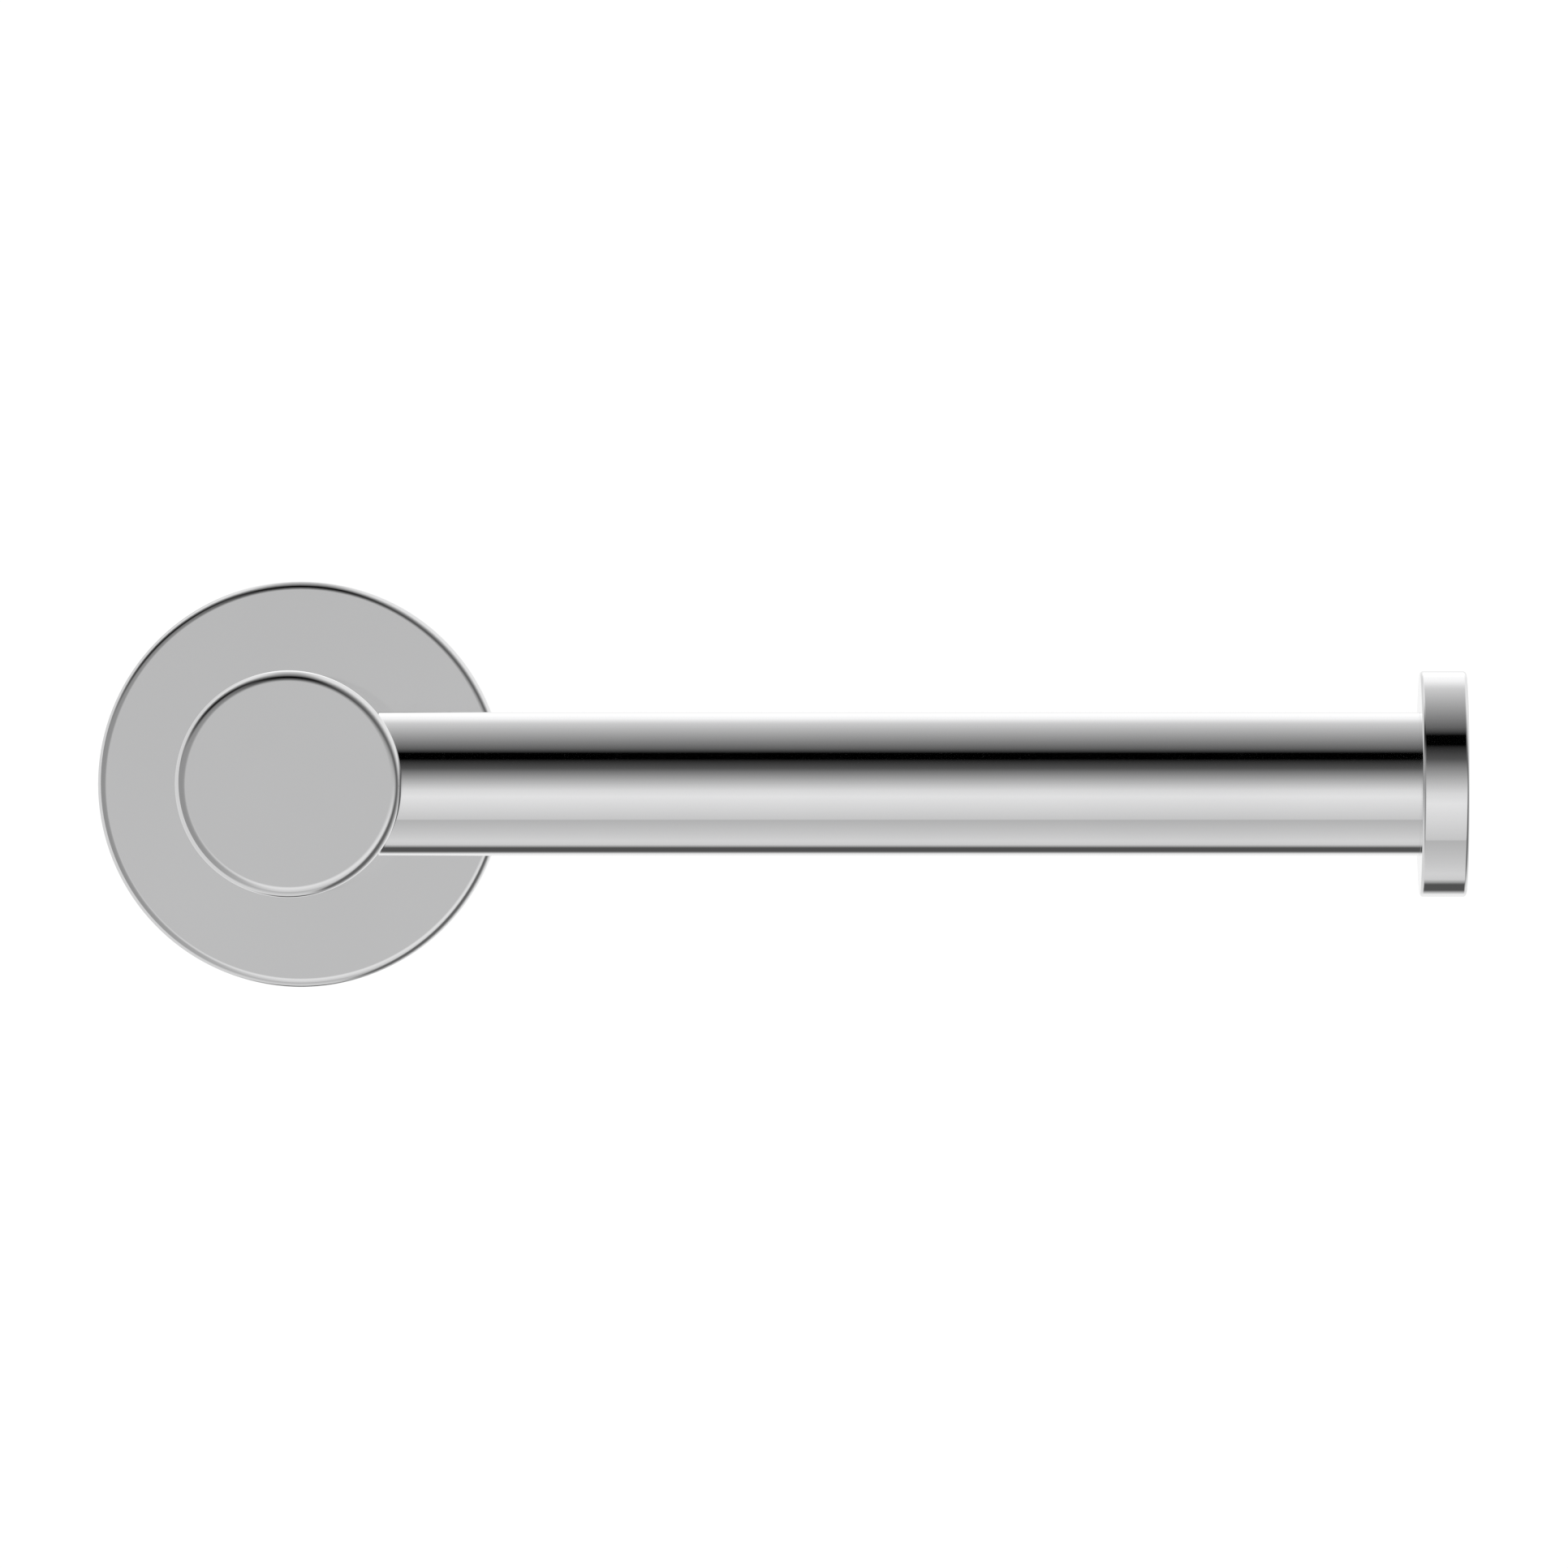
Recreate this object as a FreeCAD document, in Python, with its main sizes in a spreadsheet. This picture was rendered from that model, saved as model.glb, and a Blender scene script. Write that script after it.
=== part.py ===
import FreeCAD, Part
import math
import os
from types import SimpleNamespace

import Sketcher

# A wall-mounted toilet roll holder with one arm: a wall bracket under a round flange, a post that
# stands out from it, and a roll bar that leaves the post's side and ends in a round cap.
#
# Frame, in millimetres: +Z is up, +X runs along the roll bar to its free end, and the wall is the
# plane y = 0 with the holder standing out from it towards -Y. The origin is the middle of the
# bracket's back face, on the post's axis.

doc = FreeCAD.newDocument("toilet_roll_holder")

# name, value and what it measures
SIZES = [
    # wall bracket
    ("bracket_front_gap", 0.5, "from the bracket's front to the inside of the flange's web"),
    ("bracket_gap", 0.2, "from the bracket's rim to the flange's bore"),
    ("bracket_chamfer", 0.5, "lead-in on the bracket's front rim"),
    ("bracket_rim_land", 0.75, "straight rim between that lead-in and the set screw's V-groove"),
    ("washer_room", 1, "from the lock washer out to the hole in the bracket's middle"),
    ("slot_length", 7, "wall screw slot, end to end"),
    ("slot_width", 4.6, "wall screw slot, for a 4 mm screw"),
    ("slot_countersink", 1.7, "how far the slot's countersink widens it on each side"),
    ("slot_wall", 1.8, "from the end of a slot to the bottom of the rim's groove"),
    ("pocket_inner_wall", 4, "from the middle hole to the pockets in the bracket's back"),
    ("pocket_outer_wall", 1.8, "from those pockets to the bottom of the rim's groove"),
    ("pocket_half_angle", 38, "half of the angle that one pocket takes up, in degrees"),
    ("pocket_depth", 3, "depth of the pockets in the bracket's back"),
    # flange
    ("flange_diameter", 55, "outside of the flange"),
    ("flange_depth", 10, "from the wall to the flange's front face"),
    ("flange_wall", 4, "thickness of the flange's side wall"),
    ("flange_web", 3, "thickness of the flange's front"),
    ("flange_edge", 1.2, "rounding of the flange's front edge"),
    ("flange_back_chamfer", 0.3, "broken edges where the flange meets the wall"),
    # post
    ("projection", 80, "from the wall to the post's front face"),
    ("post_diameter", 30, "outside of the post"),
    ("post_edge", 1.45, "rounding of the post's front edge"),
    ("post_foot_chamfer", 0.15, "broken edge where the post meets the flange"),
    # roll bar
    ("bar_diameter", 19.05, "outside of the bar tube"),
    ("bar_wall", 1.5, "wall of the bar tube"),
    ("bar_setback", 15, "from the post's front face to the bar's axis"),
    ("bar_engagement", 3.5, "length of tube that the post holds all round"),
    ("plug_length", 14, "tapped plug in each end of the tube"),
    # end cap
    ("cap_reach", 149.7, "from the post's axis to the cap's inner face"),
    ("cap_diameter", 30, "outside of the cap"),
    ("cap_thickness", 6.2, "cap, from its inner to its outer face"),
    ("cap_edge", 0.5, "rounding of the cap's two edges"),
    ("cap_recess", 1, "depth of the tube's seat in the cap"),
    ("cap_face_wall", 2, "from the cap's tapped hole to its outer face"),
    # spigot that holds the bar in the post
    ("spigot_diameter", 10, "plain end of the spigot"),
    ("spigot_length", 12, "length of the spigot in the post"),
    ("spigot_groove", 1.2, "depth of the groove that the lock screw bears in"),
    ("spigot_thread", 8, "thread that holds the spigot in the bar's plug"),
    ("spigot_thread_length", 12, "length of that thread"),
    ("spigot_socket", 5, "hexagon socket in its plain end, across flats"),
    ("spigot_socket_depth", 4, "depth of that socket"),
    # screws, washer, stud and pin
    ("post_screw_thread", 8, "thread of the screw that holds the post"),
    ("post_screw_length", 20, "length of that screw under its head"),
    ("post_screw_head", 13, "diameter of its low head"),
    ("post_screw_room", 1.2, "from its low head to the wall"),
    ("post_screw_socket", 5, "its hexagon socket, across flats"),
    ("post_screw_socket_depth", 3, "depth of that socket"),
    ("post_tap_spare", 2.8, "how much deeper the post is tapped than the screw reaches"),
    ("washer_diameter", 15, "outside of the toothed lock washer"),
    ("washer_thickness", 0.8, "toothed lock washer"),
    ("washer_notch", 0.8, "radius of the notches between its teeth"),
    ("washer_teeth", 12, "number of teeth round the washer"),
    ("pin_diameter", 3, "locating pin between flange and post"),
    ("pin_length", 8, "locating pin"),
    ("pin_offset", 10.5, "from the post's axis up to the locating pin"),
    ("set_screw_thread", 4, "grub screw in the flange"),
    ("set_screw_recess", 0.7, "how far it sits below the flange's rim"),
    ("set_screw_socket", 2, "its hexagon socket, across flats"),
    ("set_screw_socket_depth", 2, "depth of that socket"),
    ("lock_screw_thread", 5, "grub screw in the post"),
    ("lock_screw_recess", 1.2, "how far it sits below the underside of the post"),
    ("lock_screw_socket", 2.5, "its hexagon socket, across flats"),
    ("lock_screw_socket_depth", 3, "depth of that socket"),
    ("cap_stud_thread", 6, "stud between end plug and cap"),
    ("cap_stud_length", 12, "stud between end plug and cap"),
    ("cap_stud_socket", 3, "its hexagon socket, across flats"),
    ("cap_stud_socket_depth", 3, "depth of that socket"),
    # clearances and small features
    ("thread_gap", 0.05, "radial gap between a thread and its tapped hole"),
    ("slip_gap", 0.02, "radial gap round a pin or spigot"),
    ("bar_gap", 0.05, "radial gap round the tube in the post and in the cap"),
    ("braze_gap", 0.05, "radial gap between a plug and the tube"),
    ("seat_gap", 0.02, "gap under the point of a grub screw"),
    ("screw_clearance", 0.2, "radial clearance round a screw's shank"),
    ("hole_spare", 0.5, "how much deeper a blind hole is than what stands in it"),
    ("point_flat", 0.5, "radius of the flat on a grub screw's cone point"),
    ("end_chamfer", 0.5, "chamfer on the ends of screws, studs and pins"),
]

sheet = doc.addObject("Spreadsheet::Sheet", "sizes")
for row, (alias, value, meaning) in enumerate(SIZES, start=1):
    sheet.set(f"A{row}", alias)
    sheet.set(f"B{row}", str(value))
    sheet.set(f"C{row}", meaning)
    sheet.setAlias(f"B{row}", alias)
doc.recompute()


class Size:
    """A size worked out from the sheet: its expression, and its value where a sketch starts."""

    def __init__(self, text, value):
        self.text, self.value = text, value

    def __add__(self, other):
        other = as_size(other)
        return Size(f"({self.text} + {other.text})", self.value + other.value)

    def __sub__(self, other):
        other = as_size(other)
        return Size(f"({self.text} - {other.text})", self.value - other.value)

    def __mul__(self, other):
        other = as_size(other)
        return Size(f"({self.text} * {other.text})", self.value * other.value)

    def __truediv__(self, other):
        other = as_size(other)
        return Size(f"({self.text} / {other.text})", self.value / other.value)

    def __neg__(self):
        return Size(f"(0 - {self.text})", -self.value)


def as_size(number):
    """A Size stays as it is, and a plain number becomes one."""
    return number if isinstance(number, Size) else Size(str(number), number)


def square_root(size):
    return Size(f"sqrt({size.text})", math.sqrt(size.value))


def sine(degrees):
    return Size(f"sin({degrees.text})", math.sin(math.radians(degrees.value)))


def cosine(degrees):
    return Size(f"cos({degrees.text})", math.cos(math.radians(degrees.value)))


class Arc:
    """In a path of corners, the arc about a centre that joins the corners before and after it."""

    def __init__(self, x, y, clockwise=False):
        self.x, self.y, self.clockwise = as_size(x), as_size(y), clockwise


sizes = SimpleNamespace(**{alias: Size(f"sizes.{alias}", value) for alias, value, _ in SIZES})

# Sizes and places that more than one piece shares.
flange_radius = sizes.flange_diameter / 2
flange_bore = flange_radius - sizes.flange_wall
web_back = sizes.flange_depth - sizes.flange_web
bracket_thickness = web_back - sizes.bracket_front_gap
bracket_radius = flange_bore - sizes.bracket_gap
set_screw_place = bracket_thickness / 2
bracket_groove_mouth = set_screw_place - sizes.bracket_chamfer - sizes.bracket_rim_land
bracket_groove_bottom = bracket_radius - bracket_groove_mouth + sizes.point_flat
set_screw_tip = bracket_groove_bottom + sizes.seat_gap
slot_middle = bracket_groove_bottom - sizes.slot_wall - sizes.slot_length / 2
post_radius = sizes.post_diameter / 2
post_length = sizes.projection - sizes.flange_depth
bar_radius = sizes.bar_diameter / 2
bar_axis = sizes.projection - sizes.bar_setback
seat_radius = bar_radius + sizes.bar_gap
spigot_radius = sizes.spigot_diameter / 2
spigot_groove_bottom = spigot_radius - sizes.spigot_groove
plug_radius = bar_radius - sizes.bar_wall - sizes.braze_gap
post_tap_radius = sizes.post_screw_thread / 2 + sizes.thread_gap
pin_radius = sizes.pin_diameter / 2
pin_hole_radius = pin_radius + sizes.slip_gap
cap_tap_radius = sizes.cap_stud_thread / 2 + sizes.thread_gap
cap_tap_depth = sizes.cap_thickness - sizes.cap_recess - sizes.cap_face_wall
# The tube's seat in the post: the post's side curves away, so the seat is measured from where the
# side meets the top of the tube.
bar_seat = square_root(post_radius * post_radius - seat_radius * seat_radius) - sizes.bar_engagement
bar_end = sizes.cap_reach + sizes.cap_recess
bar_length = bar_end - bar_seat
lock_screw_place = bar_seat - sizes.spigot_length / 2
lock_screw_tip = spigot_groove_bottom + sizes.seat_gap

OVERCUT = 1  # how far a cut runs past the face that it opens
DRILL_POINT = 0.6  # height of a drill's point, per unit of the hole's radius

# The turn that points a primitive's own Z axis along each direction.
X_AXIS, Y_AXIS = FreeCAD.Vector(1, 0, 0), FreeCAD.Vector(0, 1, 0)
TOWARDS = {
    "+X": FreeCAD.Rotation(Y_AXIS, 90),
    "-Y": FreeCAD.Rotation(X_AXIS, 90),
    "+Z": FreeCAD.Rotation(),
    "-Z": FreeCAD.Rotation(X_AXIS, 180),
}
PLANES = {"XY": "XY_Plane", "XZ": "XZ_Plane"}


def bind(thing, **ties):
    """Ties properties to the sheet. A double underscore stands for the dot in a property's path."""
    for path, size in ties.items():
        thing.setExpression(path.replace("__", "."), as_size(size).text)


def place(thing, x=0, y=0, z=0):
    """Ties a body's or primitive's place to the sheet."""
    bind(thing, Placement__Base__x=x, Placement__Base__y=y, Placement__Base__z=z)


def new_body(label, x=0, y=0, z=0):
    body = doc.addObject("PartDesign::Body", label)
    body.Label = label
    place(body, x, y, z)
    return body


def new_sketch(body, name, plane):
    """An empty sketch on one of the body's own origin planes."""
    sketch = body.newObject("Sketcher::SketchObject", f"{body.Name}_{name}")
    role = PLANES[plane]
    origin_plane = next(f for f in body.Origin.OriginFeatures if f.Role == role)
    sketch.AttachmentSupport = [(origin_plane, "")]
    sketch.MapMode = "FlatFace"
    return sketch


def pin_down(sketch, geometry, point, horizontal, vertical):
    """Fixes a point's coordinates, each tied to the sheet. None leaves a coordinate free."""
    for kind, size, axis in (("DistanceX", horizontal, -2), ("DistanceY", vertical, -1)):
        if size is None:
            continue
        if size.value == 0:
            sketch.addConstraint(Sketcher.Constraint("PointOnObject", geometry, point, axis))
        else:
            rule = Sketcher.Constraint(kind, -1, 1, geometry, point, size.value)
            sketch.setExpression(f"Constraints[{sketch.addConstraint(rule)}]", size.text)


def draw(sketch, path):
    """Draws a closed outline through the corners of a path, with an arc wherever an Arc stands."""
    corners = [tuple(as_size(c) for c in item) for item in path if not isinstance(item, Arc)]
    after = [path[(at + 1) % len(path)] for at, item in enumerate(path) if not isinstance(item, Arc)]
    ends = []
    for index, (corner, edge) in enumerate(zip(corners, after)):
        start = FreeCAD.Vector(corner[0].value, corner[1].value, 0)
        following = corners[(index + 1) % len(corners)]
        end = FreeCAD.Vector(following[0].value, following[1].value, 0)
        if not isinstance(edge, Arc):
            sketch.addGeometry(Part.LineSegment(start, end), False)
            ends.append((1, 2))
            continue
        centre = FreeCAD.Vector(edge.x.value, edge.y.value, 0)
        first, last = (end, start) if edge.clockwise else (start, end)
        angles = [math.atan2(p.y - centre.y, p.x - centre.x) for p in (first, last)]
        circle = Part.Circle(centre, FreeCAD.Vector(0, 0, 1), (start - centre).Length)
        sketch.addGeometry(Part.ArcOfCircle(circle, *angles), False)
        ends.append((2, 1) if edge.clockwise else (1, 2))
    for index, corner in enumerate(corners):
        following = (index + 1) % len(corners)
        joint = Sketcher.Constraint("Coincident", index, ends[index][1], following, ends[following][0])
        sketch.addConstraint(joint)
        pin_down(sketch, index, ends[index][0], *corner)
        edge = after[index]
        if isinstance(edge, Arc):
            # Both ends are fixed, so one coordinate of the centre is enough: the one across which
            # the ends are apart the less.
            chord = [abs(corner[axis].value - corners[following][axis].value) for axis in (0, 1)]
            level = chord[0] > chord[1]
            pin_down(sketch, index, 3, None if level else edge.x, edge.y if level else None)


def turned(body, path, plane="XY", axis="V_Axis"):
    """A turned solid: the outline of half of its section, taken all the way round an axis."""
    sketch = new_sketch(body, "section", plane)
    draw(sketch, path)
    turn = body.newObject("PartDesign::Revolution", f"{body.Name}_turned")
    turn.Profile = sketch
    turn.ReferenceAxis = (sketch, [axis])
    turn.Angle = 360
    doc.recompute()
    return turn


def bore(body, name, towards, radius, depth, x=0, y=0, z=0):
    """A round hole that starts at x, y, z and runs for its depth."""
    hole = body.newObject("PartDesign::SubtractiveCylinder", f"{body.Name}_{name}")
    hole.MapMode = "Deactivated"
    hole.Placement = FreeCAD.Placement(FreeCAD.Vector(), TOWARDS[towards])
    bind(hole, Radius=radius, Height=depth)
    place(hole, x, y, z)
    doc.recompute()
    return hole


def hexagon_socket(body, towards, across_flats, depth, x=0, y=0, z=0):
    """A hexagon socket whose mouth is at x, y, z."""
    socket = body.newObject("PartDesign::SubtractivePrism", f"{body.Name}_socket")
    socket.MapMode = "Deactivated"
    socket.Polygon = 6
    socket.Placement = FreeCAD.Placement(FreeCAD.Vector(), TOWARDS[towards])
    bind(socket, Circumradius=across_flats / square_root(as_size(3)), Height=depth)
    place(socket, x, y, z)
    doc.recompute()
    return socket


def cut_from_wall(body, name, path, depth):
    """Cuts an outline drawn on the wall plane into the body, from the wall outwards."""
    sketch = new_sketch(body, name + "_outline", "XZ")
    draw(sketch, path)
    pocket = body.newObject("PartDesign::Pocket", f"{body.Name}_{name}")
    pocket.Profile = sketch
    pocket.Reversed = True
    bind(pocket, Length=depth)
    doc.recompute()
    return pocket


def repeat_round(body, feature, count):
    """Repeats a cut evenly round the Y axis."""
    pattern = body.newObject("PartDesign::PolarPattern", feature.Name + "_round")
    pattern.Originals = [feature]
    pattern.Axis = (feature.Profile[0], ["N_Axis"])
    pattern.Angle = 360
    bind(pattern, Occurrences=count)
    body.Tip = pattern
    doc.recompute()
    return pattern


def circles_at(shape, axis, radius, distance):
    """Names of a shape's whole circles of one radius, whose centres are so far along an axis."""
    names = []
    for number, edge in enumerate(shape.Edges, start=1):
        if isinstance(edge.Curve, Part.Circle) and edge.isClosed():
            right_size = abs(edge.Curve.Radius - radius.value) < 1e-4
            if right_size and abs(getattr(edge.Curve.Center, axis) - distance.value) < 1e-4:
                names.append(f"Edge{number}")
    return names


def round_rims(body, feature, radius, rims):
    """Rounds whole rims of a feature, each given by its axis, its radius and its place."""
    shape = feature.Shape.copy()
    shape.Placement = FreeCAD.Placement()
    edges = [name for axis, size, at in rims for name in circles_at(shape, axis, size, as_size(at))]
    if len(edges) != len(rims):
        raise ValueError(f"{body.Label}: found {len(edges)} of {len(rims)} rims to round")
    fillet = body.newObject("PartDesign::Fillet", f"{body.Name}_rounding")
    fillet.Base = (feature, edges)
    bind(fillet, Radius=radius)
    doc.recompute()
    return fillet


def slot_path(half_width):
    """The outline of one wall screw slot, or of its countersink, about the slot's middle line."""
    travel = (sizes.slot_length - sizes.slot_width) / 2
    near, far = slot_middle - travel, slot_middle + travel
    return [
        (near, -half_width),
        (far, -half_width),
        Arc(far, 0),
        (far, half_width),
        (near, half_width),
        Arc(near, 0),
    ]


def make_wall_bracket():
    """Die-cast disc that two screws hold to the wall, with a V-groove round its rim."""
    body = new_body("wall_bracket")
    bore_radius = sizes.washer_diameter / 2 + sizes.washer_room
    thickness, chamfer = bracket_thickness, sizes.bracket_chamfer
    turned(body, [
        (bore_radius, 0),
        (bracket_radius, 0),
        (bracket_radius, bracket_groove_mouth - set_screw_place),
        (bracket_groove_bottom, sizes.point_flat - set_screw_place),
        (bracket_groove_bottom, -sizes.point_flat - set_screw_place),
        (bracket_radius, -bracket_groove_mouth - set_screw_place),
        (bracket_radius, chamfer - thickness),
        (bracket_radius - chamfer, -thickness),
        (bore_radius, -thickness),
    ])
    inner = bore_radius + sizes.pocket_inner_wall
    outer = bracket_groove_bottom - sizes.pocket_outer_wall
    angle = sizes.pocket_half_angle
    pocket = cut_from_wall(body, "pocket", [
        (-outer * sine(angle), outer * cosine(angle)),
        Arc(0, 0, clockwise=True),
        (outer * sine(angle), outer * cosine(angle)),
        (inner * sine(angle), inner * cosine(angle)),
        Arc(0, 0),
        (-inner * sine(angle), inner * cosine(angle)),
    ], sizes.pocket_depth)
    repeat_round(body, pocket, 2)
    half_width = sizes.slot_width / 2
    slot = cut_from_wall(body, "slot", slot_path(half_width), thickness + OVERCUT)
    repeat_round(body, slot, 2)
    # The countersink starts wide at the front and narrows to the slot's own width.
    sketch = new_sketch(body, "countersink_outline", "XZ")
    bind(sketch, AttachmentOffset__Base__z=thickness)
    draw(sketch, slot_path(half_width + sizes.slot_countersink))
    countersink = body.newObject("PartDesign::Pocket", "wall_bracket_countersink")
    countersink.Profile = sketch
    countersink.TaperAngle = -45
    bind(countersink, Length=sizes.slot_countersink)
    doc.recompute()
    repeat_round(body, countersink, 2)


def make_flange():
    """Round cup that hides the bracket. The post is screwed to its front."""
    body = new_body("flange")
    screw_hole = sizes.post_screw_thread / 2 + sizes.screw_clearance
    chamfer = sizes.flange_back_chamfer
    cup = turned(body, [
        (flange_bore + chamfer, 0),
        (flange_radius - chamfer, 0),
        (flange_radius, -chamfer),
        (flange_radius, -sizes.flange_depth),
        (screw_hole, -sizes.flange_depth),
        (screw_hole, -web_back),
        (flange_bore, -web_back),
        (flange_bore, -chamfer),
    ])
    round_rims(body, cup, sizes.flange_edge, [("y", flange_radius, -sizes.flange_depth)])
    bore(body, "set_screw_hole", "-Z", sizes.set_screw_thread / 2 + sizes.thread_gap, flange_radius,
         y=-set_screw_place, z=-bracket_groove_bottom)
    bore(body, "pin_hole", "-Y", pin_hole_radius, sizes.flange_web + 2 * OVERCUT,
         y=-web_back + OVERCUT, z=sizes.pin_offset)


def make_post():
    """Solid turned post. Its back sits on the flange, and its side holds the bar."""
    body = new_body("post", y=-sizes.flange_depth)
    screw_in_post = sizes.post_screw_length - sizes.washer_thickness - sizes.flange_web
    tap_depth = screw_in_post + sizes.post_tap_spare
    rod = turned(body, [
        (0, -tap_depth - post_tap_radius * DRILL_POINT),
        (post_tap_radius, -tap_depth),
        (post_tap_radius, 0),
        (post_radius - sizes.post_foot_chamfer, 0),
        (post_radius, -sizes.post_foot_chamfer),
        (post_radius, -post_length),
        (0, -post_length),
    ])
    round_rims(body, rod, sizes.post_edge, [("y", post_radius, -post_length)])
    across = sizes.bar_setback - post_length
    bore(body, "bar_seat", "+X", seat_radius, post_radius, x=bar_seat, y=across)
    spigot_hole_depth = sizes.spigot_length + sizes.hole_spare
    bore(body, "spigot_hole", "+X", spigot_radius + sizes.slip_gap, spigot_hole_depth + OVERCUT,
         x=bar_seat - spigot_hole_depth, y=across)
    bore(body, "lock_screw_hole", "-Z", sizes.lock_screw_thread / 2 + sizes.thread_gap, post_radius,
         x=lock_screw_place, y=across, z=-spigot_groove_bottom)
    pin_in_post = sizes.pin_length - sizes.flange_web
    bore(body, "pin_hole", "-Y", pin_hole_radius, pin_in_post + sizes.hole_spare + OVERCUT,
         y=OVERCUT, z=sizes.pin_offset)


def make_post_screw():
    """Low-head socket screw that draws the post onto the flange."""
    body = new_body("post_screw", y=sizes.washer_thickness - web_back)
    head, chamfer = sizes.post_screw_head / 2, sizes.end_chamfer
    height = web_back - sizes.washer_thickness - sizes.post_screw_room
    shank, length = sizes.post_screw_thread / 2, sizes.post_screw_length
    turned(body, [
        (0, height),
        (head - chamfer, height),
        (head, height - chamfer),
        (head, 0),
        (shank, 0),
        (shank, chamfer - length),
        (shank - chamfer, -length),
        (0, -length),
    ])
    hexagon_socket(body, "-Y", sizes.post_screw_socket, sizes.post_screw_socket_depth, y=height)


def make_post_washer():
    """Toothed lock washer between the post screw's head and the flange."""
    body = new_body("post_washer", y=-web_back)
    inner = sizes.post_screw_thread / 2 + sizes.screw_clearance
    outer, thickness, notch = sizes.washer_diameter / 2, sizes.washer_thickness, sizes.washer_notch
    turned(body, [(inner, 0), (outer, 0), (outer, thickness), (inner, thickness)])
    # One notch between two teeth, open at the rim and round at its bottom.
    sketch = new_sketch(body, "notch_outline", "XZ")
    draw(sketch, [
        (-notch, outer + OVERCUT),
        (-notch, outer - notch),
        Arc(0, outer - notch),
        (notch, outer - notch),
        (notch, outer + OVERCUT),
    ])
    cut = body.newObject("PartDesign::Pocket", "post_washer_notch")
    cut.Profile = sketch
    bind(cut, Length=thickness + OVERCUT)
    doc.recompute()
    repeat_round(body, cut, sizes.washer_teeth)


def make_locating_pin():
    """Plain dowel that keeps the post, and so the bar, from turning on the flange."""
    body = new_body("locating_pin", y=-web_back, z=sizes.pin_offset)
    chamfer = sizes.end_chamfer / 2
    turned(body, [
        (0, 0),
        (pin_radius - chamfer, 0),
        (pin_radius, -chamfer),
        (pin_radius, chamfer - sizes.pin_length),
        (pin_radius - chamfer, -sizes.pin_length),
        (0, -sizes.pin_length),
    ])


def make_grub_screw(label, thread, socket, socket_depth, x, y, tip, end):
    """Cone-point grub screw that points up, from its tip below the frame's axis down to its end."""
    body = new_body(label, x=x, y=y, z=-tip)
    length = end - tip
    radius, flat, chamfer = thread / 2, sizes.point_flat, sizes.end_chamfer / 2
    turned(body, [
        (0, 0),
        (flat, 0),
        (radius, flat - radius),
        (radius, chamfer - length),
        (radius - chamfer, -length),
        (0, -length),
    ], plane="XZ")
    hexagon_socket(body, "+Z", socket, socket_depth, z=-length)


def make_bar_tube():
    """Straight tube that the roll hangs on."""
    body = new_body("bar_tube", x=bar_seat, y=-bar_axis)
    inside = bar_radius - sizes.bar_wall
    turned(body, [
        (0, inside),
        (0, bar_radius),
        (bar_length, bar_radius),
        (bar_length, inside),
    ], axis="H_Axis")


def make_plug(label, tap_radius, x, away):
    """Tapped plug brazed into one end of the tube. It runs from x away from that end."""
    body = new_body(label, x=x, y=-bar_axis)
    inner_end, chamfer = sizes.plug_length * away, sizes.end_chamfer
    turned(body, [
        (0, tap_radius + chamfer),
        (0, plug_radius),
        (inner_end, plug_radius),
        (inner_end, tap_radius),
        (chamfer * away, tap_radius),
    ], axis="H_Axis")


def make_bar_spigot():
    """Stepped pin: its thread is in the bar's plug, and its plain end is held in the post."""
    body = new_body("bar_spigot", x=bar_seat, y=-bar_axis)
    length, thread, chamfer = sizes.spigot_length, sizes.spigot_thread / 2, sizes.end_chamfer
    middle, half_mouth = -length / 2, sizes.point_flat + sizes.spigot_groove
    turned(body, [
        (-length, 0),
        (-length, spigot_radius - chamfer),
        (chamfer - length, spigot_radius),
        (middle - half_mouth, spigot_radius),
        (middle - sizes.point_flat, spigot_groove_bottom),
        (middle + sizes.point_flat, spigot_groove_bottom),
        (middle + half_mouth, spigot_radius),
        (0, spigot_radius),
        (0, thread),
        (sizes.spigot_thread_length - chamfer, thread),
        (sizes.spigot_thread_length, thread - chamfer),
        (sizes.spigot_thread_length, 0),
    ], axis="H_Axis")
    hexagon_socket(body, "+X", sizes.spigot_socket, sizes.spigot_socket_depth, x=-length)


def make_cap_stud():
    """Stud with a hexagon socket, half in the end plug and half in the cap."""
    body = new_body("cap_stud", x=bar_end + cap_tap_depth - sizes.end_chamfer, y=-bar_axis)
    radius, length, chamfer = sizes.cap_stud_thread / 2, sizes.cap_stud_length, sizes.end_chamfer
    turned(body, [
        (-length, 0),
        (-length, radius - chamfer),
        (chamfer - length, radius),
        (-chamfer, radius),
        (0, radius - chamfer),
        (0, 0),
    ], axis="H_Axis")
    hexagon_socket(body, "+X", sizes.cap_stud_socket, sizes.cap_stud_socket_depth, x=-length)


def make_end_cap():
    """Disc on the bar's free end that keeps the roll on. The tube seats in its inner face."""
    body = new_body("end_cap", x=sizes.cap_reach, y=-bar_axis)
    radius, thickness = sizes.cap_diameter / 2, sizes.cap_thickness
    tap_end = sizes.cap_recess + cap_tap_depth
    disc = turned(body, [
        (0, seat_radius),
        (0, radius),
        (thickness, radius),
        (thickness, 0),
        (tap_end, 0),
        (tap_end, cap_tap_radius),
        (sizes.cap_recess, cap_tap_radius),
        (sizes.cap_recess, seat_radius),
    ], axis="H_Axis")
    round_rims(body, disc, sizes.cap_edge, [("x", radius, 0), ("x", radius, thickness)])


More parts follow.
